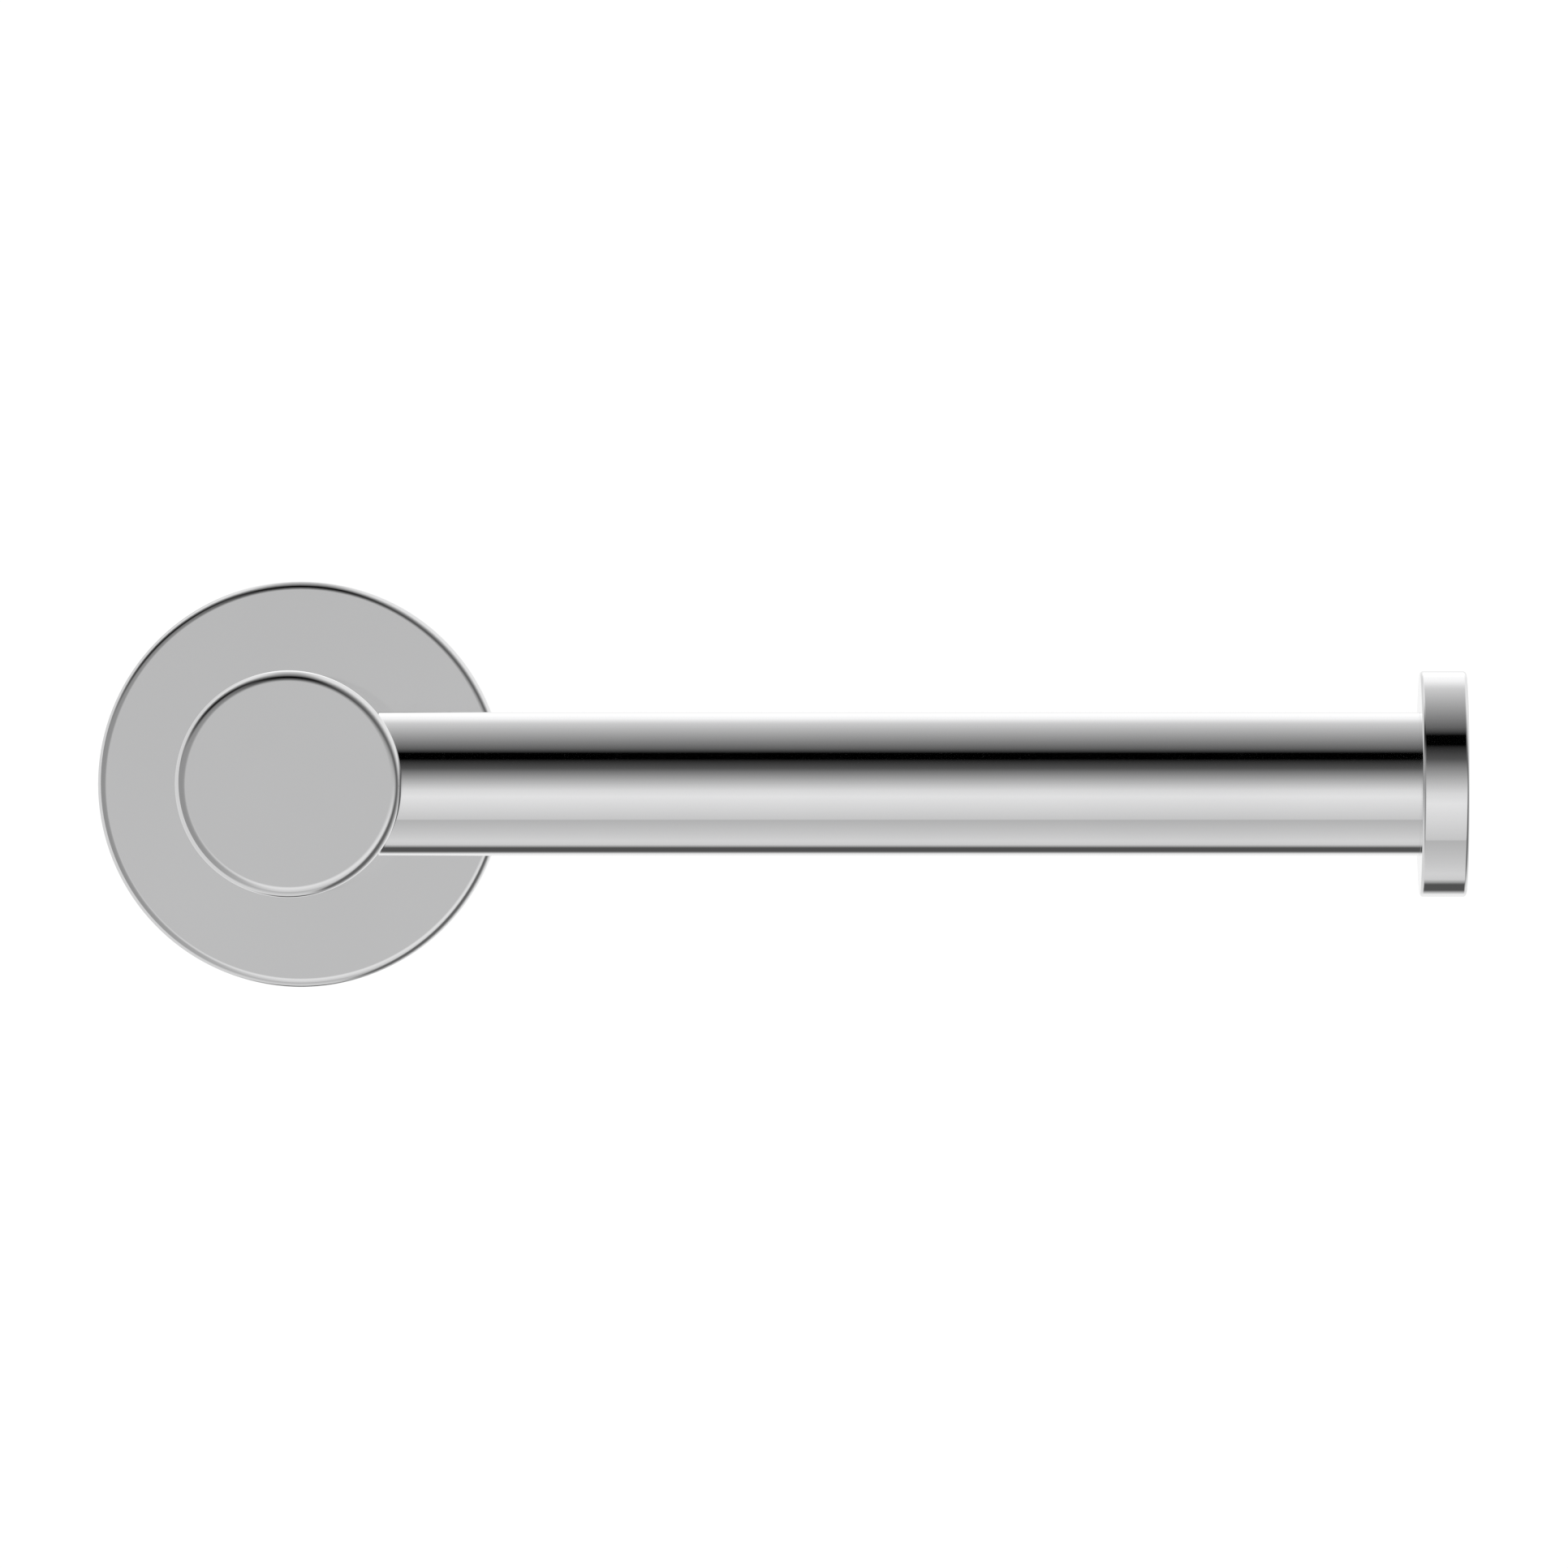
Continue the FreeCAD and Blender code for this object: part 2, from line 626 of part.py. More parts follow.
def check_and_export():
    """Stops at anything that failed to build, then writes each body to its own STEP file."""
    doc.recompute()
    for thing in doc.Objects:
        if {"Invalid", "Error"} & set(thing.State):
            raise ValueError(f"{thing.Label} failed: {thing.State}")
        if thing.isDerivedFrom("Sketcher::SketchObject") and not thing.FullyConstrained:
            raise ValueError(f"{thing.Label} is not fully constrained")
    os.makedirs("parts", exist_ok=True)
    for body in doc.findObjects("PartDesign::Body"):
        if body.Shape.isNull() or not body.Shape.isValid() or len(body.Shape.Solids) != 1:
            raise ValueError(f"{body.Label} is not one valid solid")
        body.Shape.exportStep(f"parts/{body.Label}.step")
        print(f"{body.Label}: {body.Shape.Volume:.1f} mm3")


make_wall_bracket()
make_flange()
make_post()
make_post_screw()
make_post_washer()
make_locating_pin()
make_grub_screw("set_screw", sizes.set_screw_thread, sizes.set_screw_socket,
                sizes.set_screw_socket_depth, x=0, y=-set_screw_place,
                tip=set_screw_tip, end=flange_radius - sizes.set_screw_recess)
make_bar_tube()
make_plug("bar_root_plug", sizes.spigot_thread / 2 + sizes.thread_gap, x=bar_seat, away=1)
make_bar_spigot()
make_grub_screw("bar_lock_screw", sizes.lock_screw_thread, sizes.lock_screw_socket,
                sizes.lock_screw_socket_depth, x=lock_screw_place, y=-bar_axis,
                tip=lock_screw_tip, end=post_radius - sizes.lock_screw_recess)
make_plug("bar_end_plug", cap_tap_radius, x=bar_end, away=-1)
make_cap_stud()
make_end_cap()
check_and_export()
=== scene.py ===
"""Looks of a wall-mounted toilet paper holder: a chromed flange, post, roll bar and end cap.

The frame gives every piece its place and its overall size. The classes below make each piece
again as a finished mesh, with true rounded edges, hexagon sockets and helical threads, and
dress it in its own finish.
"""

import logging
import math
from dataclasses import dataclass
from enum import Enum
from typing import Sequence

import bmesh
import bpy
import numpy as np
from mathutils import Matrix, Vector
from mathutils.geometry import tessellate_polygon


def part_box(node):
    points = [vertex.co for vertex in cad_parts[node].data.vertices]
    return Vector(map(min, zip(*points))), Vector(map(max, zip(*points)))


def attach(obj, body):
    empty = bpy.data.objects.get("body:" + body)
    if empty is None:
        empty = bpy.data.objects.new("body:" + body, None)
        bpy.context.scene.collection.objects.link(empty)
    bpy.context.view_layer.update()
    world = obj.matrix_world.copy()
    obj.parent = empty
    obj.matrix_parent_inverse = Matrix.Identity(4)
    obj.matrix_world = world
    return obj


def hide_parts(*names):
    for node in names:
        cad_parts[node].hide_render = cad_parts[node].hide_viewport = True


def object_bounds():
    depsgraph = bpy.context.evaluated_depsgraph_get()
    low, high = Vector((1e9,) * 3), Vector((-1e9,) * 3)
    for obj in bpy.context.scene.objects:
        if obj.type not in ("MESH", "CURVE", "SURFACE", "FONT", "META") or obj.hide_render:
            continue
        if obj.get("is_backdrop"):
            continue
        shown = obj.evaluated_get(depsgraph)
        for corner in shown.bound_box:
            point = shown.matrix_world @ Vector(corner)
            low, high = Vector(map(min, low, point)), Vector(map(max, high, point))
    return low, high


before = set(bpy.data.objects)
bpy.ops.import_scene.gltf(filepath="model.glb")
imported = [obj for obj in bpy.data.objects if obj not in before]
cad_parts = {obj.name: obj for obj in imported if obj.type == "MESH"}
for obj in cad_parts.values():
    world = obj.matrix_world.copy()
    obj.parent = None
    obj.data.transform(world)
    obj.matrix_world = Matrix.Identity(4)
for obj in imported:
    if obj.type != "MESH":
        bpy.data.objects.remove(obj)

MM = 0.001
BODY = "root"
WELD = 0.0015 * MM
ARC_STEP = math.radians(7.5)
SIDE_ROWS = 5
THREAD_ROWS = 14
EDGE_RINGS = 4
NO_AREA = 1e-16
THREAD_DEPTH = 0.6134
CREST_SHARE = 1 / 8
FLANK_SHARE = 5 / 8

log = logging.getLogger("holder")


class Axis(Enum):
    """Axis of a turned piece, then the directions of its angles 0 and 90 degrees."""

    X = ((1, 0, 0), (0, 1, 0), (0, 0, 1))
    Y = ((0, 1, 0), (1, 0, 0), (0, 0, 1))
    Z = ((0, 0, 1), (1, 0, 0), (0, 1, 0))


class Side(Enum):
    """Whether a surface closes round its own middle from outside, or lines a hole."""

    OUTER = 1
    INNER = -1


class Slot(Enum):
    """Names of the material slots."""

    CHROME = "chrome_plate"
    ZINC = "cast_zinc"
    BRASS = "turned_brass"
    STAINLESS = "stainless_steel"
    PLATED = "zinc_plated_steel"


@dataclass(frozen=True)
class Spindle:
    """Line that a piece is turned about."""

    axis: Axis
    centre: tuple[float, float, float] = (0.0, 0.0, 0.0)

    def vectors(self, along: np.ndarray, outward: np.ndarray, angle: np.ndarray) -> np.ndarray:
        """Vectors with a part along the axis and a part outward at an angle.

        Args:
            along: Length along the axis.
            outward: Length away from the axis.
            angle: Angle round the axis, in radians.

        Returns:
            One vector for each set of values, in the last dimension.
        """
        main, first, second = (np.array(way, float) for way in self.axis.value)
        along, outward, angle = np.broadcast_arrays(along, outward, angle)
        round_axis = np.cos(angle)[..., None] * first + np.sin(angle)[..., None] * second
        return along[..., None] * main + outward[..., None] * round_axis

    def points(self, along: np.ndarray, radius: np.ndarray, angle: np.ndarray) -> np.ndarray:
        """Points at a place along the axis, a radius and an angle, as vectors() takes them."""
        return self.vectors(along, radius, angle) + np.array(self.centre)


@dataclass(frozen=True)
class Corner:
    """Corner of a section: its place along the axis, its radius and its rounding."""

    along: float
    radius: float
    rounding: float = 0.0


def smooth_runs(path: Sequence[Corner], closed: bool = False) -> list[tuple[np.ndarray, np.ndarray]]:
    """Rounds a path's corners and splits it at the sharp ones.

    The path is walked with the solid on its left, so it runs outward across the far end, back
    along the outside, inward across the near end and forward again along a bore.

    Args:
        path: The corners in order.
        closed: Whether the last corner is joined to the first.

    Returns:
        For each smooth run, its points and its normals in the plane of the section.
    """
    spots = [np.array((corner.along, corner.radius)) for corner in path]
    roundings = [corner.rounding for corner in path]
    if closed:
        middle = (spots[0] + spots[1]) / 2
        spots = [middle, *spots[1:], spots[0], middle]
        roundings = [0.0, *roundings[1:], roundings[0], 0.0]

    def normal_after(index: int) -> np.ndarray:
        """Normal of the straight side after a corner."""
        along, radial = spots[index + 1] - spots[index]
        return np.array((radial, -along)) / math.hypot(along, radial)

    runs = []
    places, normals = [spots[0]], [normal_after(0)]
    for index in range(1, len(spots) - 1):
        before, after, rounding = normal_after(index - 1), normal_after(index), roundings[index]
        if not rounding:
            runs.append((places + [spots[index]], normals + [before]))
            places, normals = [spots[index]], [after]
            continue
        cross = before[0] * after[1] - before[1] * after[0]
        turn = math.atan2(cross, before @ after)
        bulge = math.copysign(rounding, turn)
        back = np.array((before[1], -before[0]))
        start = spots[index] + back * rounding * math.tan(abs(turn) / 2)
        for angle in np.linspace(0, turn, max(3, math.ceil(abs(turn) / ARC_STEP)) + 1):
            spin = np.array(((math.cos(angle), -math.sin(angle)), (math.sin(angle), math.cos(angle))))
            normals.append(spin @ before)
            places.append(start - bulge * before + bulge * normals[-1])
    runs.append((places + [spots[-1]], normals + [normal_after(len(spots) - 2)]))
    return [(np.array(places), np.array(normals)) for places, normals in runs]


@dataclass(frozen=True)
class CrossHole:
    """Round hole that enters the side of a turned piece square to its axis."""

    facing: float
    along: float
    radius: float
    offset: float = 0.0
    count: int = 48

    def _half_turn(self) -> np.ndarray:
        """Angles round the hole of the mesh columns that cross it."""
        return np.linspace(-math.pi / 2, math.pi / 2, self.count // 2 + 1)

    def columns(self, radius: float) -> np.ndarray:
        """Angles of the columns that cross the hole, on a cylinder of the piece."""
        return self.facing + np.arcsin((self.offset + self.radius * np.sin(self._half_turn())) / radius)

    def heights(self) -> np.ndarray:
        """Half of the hole's length along the piece at each of its columns."""
        return self.radius * np.cos(self._half_turn())

    def rim(self, spindle: Spindle, radius: float, narrow: float = 0.0, sink: float = 0.0,
            quarter_turned: bool = False) -> np.ndarray:
        """Ring of points where the hole meets a cylinder.

        Args:
            spindle: The cylinder's axis.
            radius: The cylinder's radius.
            narrow: How much smaller than the hole the ring is.
            sink: How far the ring is moved towards the cylinder's axis.
            quarter_turned: Whether the ring's points run from the piece's axis, as they do on
                a cylinder that lies across the first one.

        Returns:
            The ring's points.
        """
        turn = np.linspace(0, math.tau, self.count, endpoint=False)
        turn = math.pi / 2 - turn if quarter_turned else turn
        size = self.radius - narrow
        angle = self.facing + np.arcsin((self.offset + size * np.sin(turn)) / radius)
        ring = spindle.points(self.along + size * np.cos(turn), radius, angle)
        return ring - sink * spindle.vectors(0.0, 1.0, self.facing)

    def edge(self, spindle: Spindle, radius: float, rounding: float, side: Side = Side.OUTER,
             quarter_turned: bool = False) -> list[np.ndarray]:
        """Rings of the rounded edge between a cylinder and the hole, the widest one first."""
        return [
            self.rim(spindle, radius, rounding * math.sin(angle),
                     side.value * rounding * (1 - math.cos(angle)), quarter_turned)
            for angle in np.linspace(0, math.pi / 2, EDGE_RINGS)
        ]


@dataclass(frozen=True)
class Spokes:
    """Columns of a turned mesh, packed closer where cross holes enter its side."""

    holes: tuple[CrossHole, ...] = ()
    count: int = 144

    def _gaps(self) -> list[tuple[CrossHole, CrossHole, float, int]]:
        """Each hole with the next one, whether the gap passes angle 0, and its columns."""
        gaps = []
        for hole, following in zip(self.holes, self.holes[1:] + self.holes[:1]):
            wrap = math.tau if following.facing <= hole.facing else 0.0
            spread = following.facing + wrap - hole.facing
            gaps.append((hole, following, wrap, round(spread / math.tau * self.count)))
        return gaps

    def angles(self, radius: float) -> np.ndarray:
        """Angles of all columns, on a cylinder of this radius."""
        if not self.holes:
            return np.linspace(0, math.tau, self.count, endpoint=False)
        angles = []
        for hole, following, wrap, count in self._gaps():
            own = hole.columns(radius)
            filler = np.linspace(own[-1], following.columns(radius)[0] + wrap, count + 1)
            angles += [own, filler[1:-1]]
        return np.concatenate(angles)

    def openings(self) -> tuple[np.ndarray, np.ndarray]:
        """Where each column stops before the holes, and where it starts again after them."""
        low, high = [], []
        for hole, following, _, count in self._gaps():
            level = np.linspace(hole.along, following.along, count + 1)[1:-1]
            low += [hole.along - hole.heights(), level]
            high += [hole.along + hole.heights(), level]
        return np.concatenate(low), np.concatenate(high)


ROUND = Spokes()
SMALL_ROUND = Spokes(count=96)
FINE_ROUND = Spokes(count=240)


class Skin:
    """Surface of one piece, gathered patch by patch with its true normals."""

    def __init__(self) -> None:
        """Starts with nothing."""
        self._points: list[np.ndarray] = []
        self._normals: list[np.ndarray] = []
        self._faces: list[list[int]] = []
        self._finishes: list[int] = []
        self._count = 0

    def _add(self, points: np.ndarray, normals: np.ndarray, faces: np.ndarray, finish: int) -> None:
        """Adds a patch's faces, each wound so that it faces the way its normals point.

        Args:
            points: The patch's points.
            normals: One normal for each point.
            faces: Indices of each face's corners among the patch's points.
            finish: Index of the patch's finish on the piece.
        """
        corners = points[faces]
        facing = np.cross(corners[:, 2] - corners[:, 0], corners[:, -1] - corners[:, 1])
        wrong = np.einsum("ij,ij->i", facing, normals[faces].sum(1)) < 0
        faces[wrong] = faces[wrong][:, ::-1]
        self._points.append(points)
        self._normals.append(normals)
        self._faces += (faces + self._count).tolist()
        self._finishes += [finish] * len(faces)
        self._count += len(points)

    def sheet(self, points: np.ndarray, normals: np.ndarray, loop: bool = True, finish: int = 0) -> None:
        """Adds a grid of four-sided faces.

        Args:
            points: Rows of points.
            normals: Normals that broadcast to the points.
            loop: Whether the last column is joined to the first.
            finish: Index of the patch's finish on the piece.
        """
        rows, columns = points.shape[:2]
        index = np.arange(rows * columns).reshape(rows, columns)
        index = np.hstack([index, index[:, :1]]) if loop else index
        faces = np.stack([index[:-1, :-1], index[1:, :-1], index[1:, 1:], index[:-1, 1:]], -1)
        normals = np.broadcast_to(normals, points.shape)
        self._add(points.reshape(-1, 3), normals.reshape(-1, 3), faces.reshape(-1, 4), finish)

    def flat(self, normal: Sequence[float], *rings: np.ndarray, finish: int = 0) -> None:
        """Fills a flat face.

        Args:
            normal: The way it faces.
            rings: Its outline and the outlines of the holes in it.
            finish: Index of the patch's finish on the piece.
        """
        points = np.concatenate(rings)
        triangles = tessellate_polygon([[Vector(point) for point in ring] for ring in rings])
        normals = np.tile(np.array(normal, float), (len(points), 1))
        self._add(points, normals, np.array(triangles), finish)

    def turn(self, spindle: Spindle, path: Sequence[Corner], spokes: Spokes = ROUND,
             closed: bool = False, finish: int = 0) -> None:
        """Turns a path of corners about a spindle.

        Args:
            spindle: The axis.
            path: The corners, as smooth_runs() takes them.
            spokes: The columns of the mesh.
            closed: Whether the path is a closed section.
            finish: Index of the patch's finish on the piece.
        """
        for places, normals in smooth_runs(path, closed):
            angles = np.array([spokes.angles(radius) for radius in places[:, 1]])
            self.sheet(spindle.points(places[:, :1], places[:, 1:], angles),
                       spindle.vectors(normals[:, :1], normals[:, 1:], angles), finish=finish)

    def pierced(self, spindle: Spindle, radius: float, near: float, far: float, spokes: Spokes,
                side: Side = Side.OUTER, finish: int = 0) -> None:
        """Adds a round side that cross holes enter, and leaves those holes open.

        Args:
            spindle: The side's axis.
            radius: The side's radius.
            near: Where the side starts along the axis.
            far: Where it ends.
            spokes: The columns, which hold the holes.
            side: Whether it is an outside or a bore.
            finish: Index of the patch's finish on the piece.
        """
        angles, (low, high) = spokes.angles(radius), spokes.openings()
        share = np.linspace(0, 1, SIDE_ROWS)[:, None]
        for start, end in ((near, low), (high, far)):
            points = spindle.points(start + (end - start) * share, radius, angles)
            self.sheet(points, spindle.vectors(0.0, side.value, angles), finish=finish)

    def loft(self, rings: Sequence[np.ndarray], side: Side | Sequence[float], finish: int = 0) -> None:
        """Joins rings of equally many points by one smooth surface.

        Args:
            rings: The rings, in order.
            side: Whether the surface is an outside or lines a hole, or the way it faces.
            finish: Index of the patch's finish on the piece.
        """
        points = np.stack(rings)
        down = np.gradient(points, axis=0)
        across = np.roll(points, -1, axis=1) - np.roll(points, 1, axis=1)
        normals = np.cross(down, across)
        size = np.linalg.norm(normals, axis=-1, keepdims=True)
        normals = np.where(size > NO_AREA, normals / np.maximum(size, NO_AREA), 0.0)
        if isinstance(side, Side):
            facing = side.value * (points - points.mean(axis=1, keepdims=True))
        else:
            facing = np.array(side, float)
        if (normals * facing).sum() < 0:
            normals = -normals
        for end, beside in ((0, 1), (-1, -2)):
            if size[end].max() < NO_AREA:
                normals[end] = normals[beside].mean(axis=0)
        self.sheet(points, normals, finish=finish)

    def make(self, name: str) -> bpy.types.Object:
        """Welds the patches into one mesh that keeps their normals.

        Args:
            name: The new piece's name.

        Returns:
            The new piece, linked to the scene.
        """
        mesh = bpy.data.meshes.new(name)
        mesh.from_pydata(np.concatenate(self._points).tolist(), [], self._faces)
        mesh.polygons.foreach_set("material_index", self._finishes)
        mesh.shade_smooth()
        corners = np.empty(len(mesh.loops), np.int32)
        mesh.loops.foreach_get("vertex_index", corners)
        kept = mesh.attributes.new("true_normal", "FLOAT_VECTOR", "CORNER")
        kept.data.foreach_set("vector", np.concatenate(self._normals)[corners].ravel())
        work = bmesh.new()
        work.from_mesh(mesh)
        bmesh.ops.remove_doubles(work, verts=work.verts, dist=WELD)
        open_edges = sum(not edge.is_manifold for edge in work.edges)
        work.to_mesh(mesh)
        work.free()
        if open_edges:
            log.warning("%s has %d open edges", name, open_edges)
        normals = np.empty(len(mesh.loops) * 3, np.float32)
        mesh.attributes["true_normal"].data.foreach_get("vector", normals)
        mesh.normals_split_custom_set(normals.reshape(-1, 3).tolist())
        mesh.attributes.remove(mesh.attributes["true_normal"])
        piece = bpy.data.objects.new(name, mesh)
        bpy.context.scene.collection.objects.link(piece)
        return piece


@dataclass(frozen=True)
class Thread:
    """Metric thread: its outside radius and its pitch."""

    radius: float
    pitch: float

    @property
    def root(self) -> float:
        """Radius at the bottom of the thread."""
        return self.radius - THREAD_DEPTH * self.pitch

    def surface(self, along: np.ndarray, angle: np.ndarray) -> np.ndarray:
        """Radius of the thread at places along the axis and angles round it."""
        phase = np.abs(2 * ((along / self.pitch - angle / math.tau) % 1) - 1)
        depth = np.clip((phase - CREST_SHARE) / FLANK_SHARE, 0, 1)
        return self.radius - (self.radius - self.root) * depth

    def cut(self, skin: Skin, spindle: Spindle, near: Corner, far: Corner, side: Side,
            gap: float = 0.0, spokes: Spokes = SMALL_ROUND) -> None:
        """Adds a threaded stretch with a bevel at each end.

        Args:
            skin: The piece's surface.
            spindle: The thread's axis.
            near: Where the thread starts, and the radius that its bevel starts from.
            far: Where it ends, and its bevel's radius there.
            side: OUTER for a rod, INNER for a tapped hole.
            gap: How much larger than the thread the surface is.
            spokes: The columns of the mesh.
        """
        rows = round(abs(far.along - near.along) / self.pitch * THREAD_ROWS) + 2
        along = np.linspace(near.along, far.along, rows)[:, None]
        angles = spokes.angles(self.radius)
        bevels = [end.radius + side.value * np.abs(along - end.along) for end in (near, far)]
        bound = np.minimum if side is Side.OUTER else np.maximum
        radius = bound(bound(self.surface(along, angles) + gap, bevels[0]), bevels[1])
        skin.loft(list(spindle.points(along, radius, angles)), side)


@dataclass(frozen=True)
class HexSocket:
    """Hexagon socket in the end of a screw, with a bevelled mouth and a drilled bottom."""

    across_flats: float
    depth: float
    mouth_spare: float = 0.12 * MM
    bevel_slope: float = 0.6
    drill_share: float = 0.42
    drill_slope: float = 0.6

    @property
    def mouth(self) -> float:
        """Radius of the round mouth."""
        return self.across_flats / math.sqrt(3) + self.mouth_spare

    def cut(self, skin: Skin, spindle: Spindle, face: float, inward: int,
            spokes: Spokes = SMALL_ROUND) -> None:
        """Adds the socket's surfaces.

        Args:
            skin: The piece's surface.
            spindle: The screw's axis.
            face: Where the screw's end face is along the axis.
            inward: +1 or -1, the way into the screw along the axis.
            spokes: The columns of the mesh, a multiple of six.
        """
        angles = spokes.angles(self.mouth)
        wall = self.across_flats / 2 / np.cos(angles % (math.tau / 6) - math.tau / 12)
        bottom = face + inward * self.depth
        circle = spindle.points(face, self.mouth, angles)
        hexagon = spindle.points(face + inward * (self.mouth - wall) * self.bevel_slope, wall, angles)
        floor = spindle.points(bottom, wall, angles)
        skin.loft([circle, hexagon], Side.INNER)
        width = len(angles) // 6
        for flat in range(6):
            columns = np.arange(flat * width, (flat + 1) * width + 1) % len(angles)
            middle = math.tau * (flat + 0.5) / 6
            skin.sheet(np.stack([hexagon[columns], floor[columns]]),
                       spindle.vectors(0.0, -1.0, middle), loop=False)
        drill = self.drill_share * self.across_flats
        hole = spindle.points(bottom, drill, angles)
        point = spindle.points(bottom + inward * drill * self.drill_slope, 0.0, angles)
        skin.sheet(np.stack([floor, hole]), spindle.vectors(-float(inward), 0.0, 0.0))
        skin.loft([hole, point], Side.INNER)


class Graph:
    """Short way to add and join the nodes of one shader."""

    def __init__(self, tree: bpy.types.NodeTree) -> None:
        """Starts with an empty tree."""
        self.tree = tree
        tree.nodes.clear()

    def add(self, kind: str, inputs: dict[str | int, object] | None = None,
            **settings: object) -> bpy.types.Node:
        """Adds a node.

        Args:
            kind: The node's type, without its ShaderNode prefix.
            inputs: Values or other nodes' outputs for its inputs, by name or number.
            **settings: The node's own properties.

        Returns:
            The new node.
        """
        node = self.tree.nodes.new("ShaderNode" + kind)
        for name, value in settings.items():
            setattr(node, name, value)
        for name, value in (inputs or {}).items():
            if isinstance(value, bpy.types.NodeSocket):
                self.tree.links.new(value, node.inputs[name])
            else:
                node.inputs[name].default_value = value
        return node

    def math(self, operation: str, *values: object) -> bpy.types.NodeSocket:
        """Result of a Math node."""
        return self.add("Math", dict(enumerate(values)), operation=operation).outputs[0]

    def noise(self, place: bpy.types.NodeSocket, scale: float, detail: float = 3.0,
              roughness: float = 0.5) -> bpy.types.NodeSocket:
        """Smooth noise at a place, with so many waves to a metre."""
        inputs = {"Vector": place, "Scale": scale, "Detail": detail, "Roughness": roughness}
        return self.add("TexNoise", inputs).outputs["Fac"]

    def spread(self, value: bpy.types.NodeSocket, low: float, high: float, start: float = 0.3,
               end: float = 0.7, way: str = "LINEAR") -> bpy.types.NodeSocket:
        """Maps a value from start..end to low..high, and stops at both."""
        inputs = {"Value": value, "From Min": start, "From Max": end, "To Min": low, "To Max": high}
        return self.add("MapRange", inputs, interpolation_type=way).outputs["Result"]

    def ramp(self, place: bpy.types.NodeSocket,
             stops: Sequence[tuple[float, Sequence[float]]]) -> bpy.types.NodeSocket:
        """Colour that runs through stops, each a place from 0 to 1 and a colour."""
        node = self.add("ValToRGB", {"Fac": place})
        elements = node.color_ramp.elements
        while len(elements) < len(stops):
            elements.new(1.0)
        for element, (spot, colour) in zip(elements, stops):
            element.position, element.color = spot, (*colour, 1.0)
        return node.outputs["Color"]

    def blend(self, share: object, first: object, second: object) -> bpy.types.NodeSocket:
        """Mixes two colours."""
        node = self.add("Mix", {0: share, 6: first, 7: second}, data_type="RGBA")
        return node.outputs[2]


Colour = tuple[float, float, float]


@dataclass(frozen=True)
class Finish:
    """Metal finish: a colour that drifts a little, fine grain and the marks of its making."""

    name: str
    light: Colour
    dark: Colour
    patches: float
    smooth: float
    rough: float
    grain: float
    grain_depth: float
    mark_pitch: float = 0.0
    mark_depth: float = 0.0
    scratches: float = 0.0

    def material(self) -> bpy.types.Material:
        """Builds the finish, once.

        Returns:
            The material of this name.
        """
        known = bpy.data.materials.get(self.name)
        if known:
            return known
        material = bpy.data.materials.new(self.name)
        material.use_nodes = True
        graph = Graph(material.node_tree)
        place = graph.add("TexCoord").outputs["Object"]
        mottle = graph.noise(place, self.patches)
        colour = graph.ramp(mottle, ((0.35, self.dark), (0.65, self.light)))
        wear = graph.noise(place, self.patches * 3, detail=6.0, roughness=0.65)
        roughness = graph.spread(wear, self.smooth, self.rough)
        height = graph.math("MULTIPLY", graph.noise(place, self.grain, detail=4.0), self.grain_depth)
        if self.scratches:
            roughness = graph.math("ADD", roughness, self._hairlines(graph, place))
        if self.mark_depth:
            height = graph.math("ADD", height, self._tool_marks(graph, place))
        bump = graph.add("Bump", {"Height": height, "Strength": 1.0, "Distance": 1.0})
        shader = graph.add("BsdfPrincipled", {
            "Base Color": colour, "Metallic": 1.0, "Roughness": roughness,
            "Normal": bump.outputs["Normal"],
        })
        graph.add("OutputMaterial", {"Surface": shader.outputs["BSDF"]})
        return material

    def _hairlines(self, graph: Graph, place: bpy.types.NodeSocket) -> bpy.types.NodeSocket:
        """Roughness of thin wiping marks that cross each other at random."""
        lines = []
        for stretch in ((40.0, 900.0, 1400.0), (1300.0, 60.0, 800.0)):
            longways = graph.add("Mapping", {"Vector": place, "Scale": stretch}).outputs["Vector"]
            lines.append(graph.spread(graph.noise(longways, 1.0, detail=2.0), 0.0, 1.0, 0.66, 0.72))
        return graph.math("MULTIPLY", graph.math("MAXIMUM", *lines), self.scratches)

    def _tool_marks(self, graph: Graph, place: bpy.types.NodeSocket) -> bpy.types.NodeSocket:
        """Height of the fine rings that a lathe leaves on sides and end faces."""
        apart = graph.add("SeparateXYZ", {"Vector": place}).outputs
        across = graph.add("VectorMath", {0: place}, operation="LENGTH").outputs["Value"]
        travel = graph.math("ADD", graph.math("ADD", apart["X"], apart["Y"]), across)
        wander = graph.math("MULTIPLY", graph.noise(place, self.patches), self.mark_pitch)
        turns = graph.math("DIVIDE", graph.math("ADD", travel, wander), self.mark_pitch / math.tau)
        return graph.math("MULTIPLY", graph.math("SINE", turns), self.mark_depth)


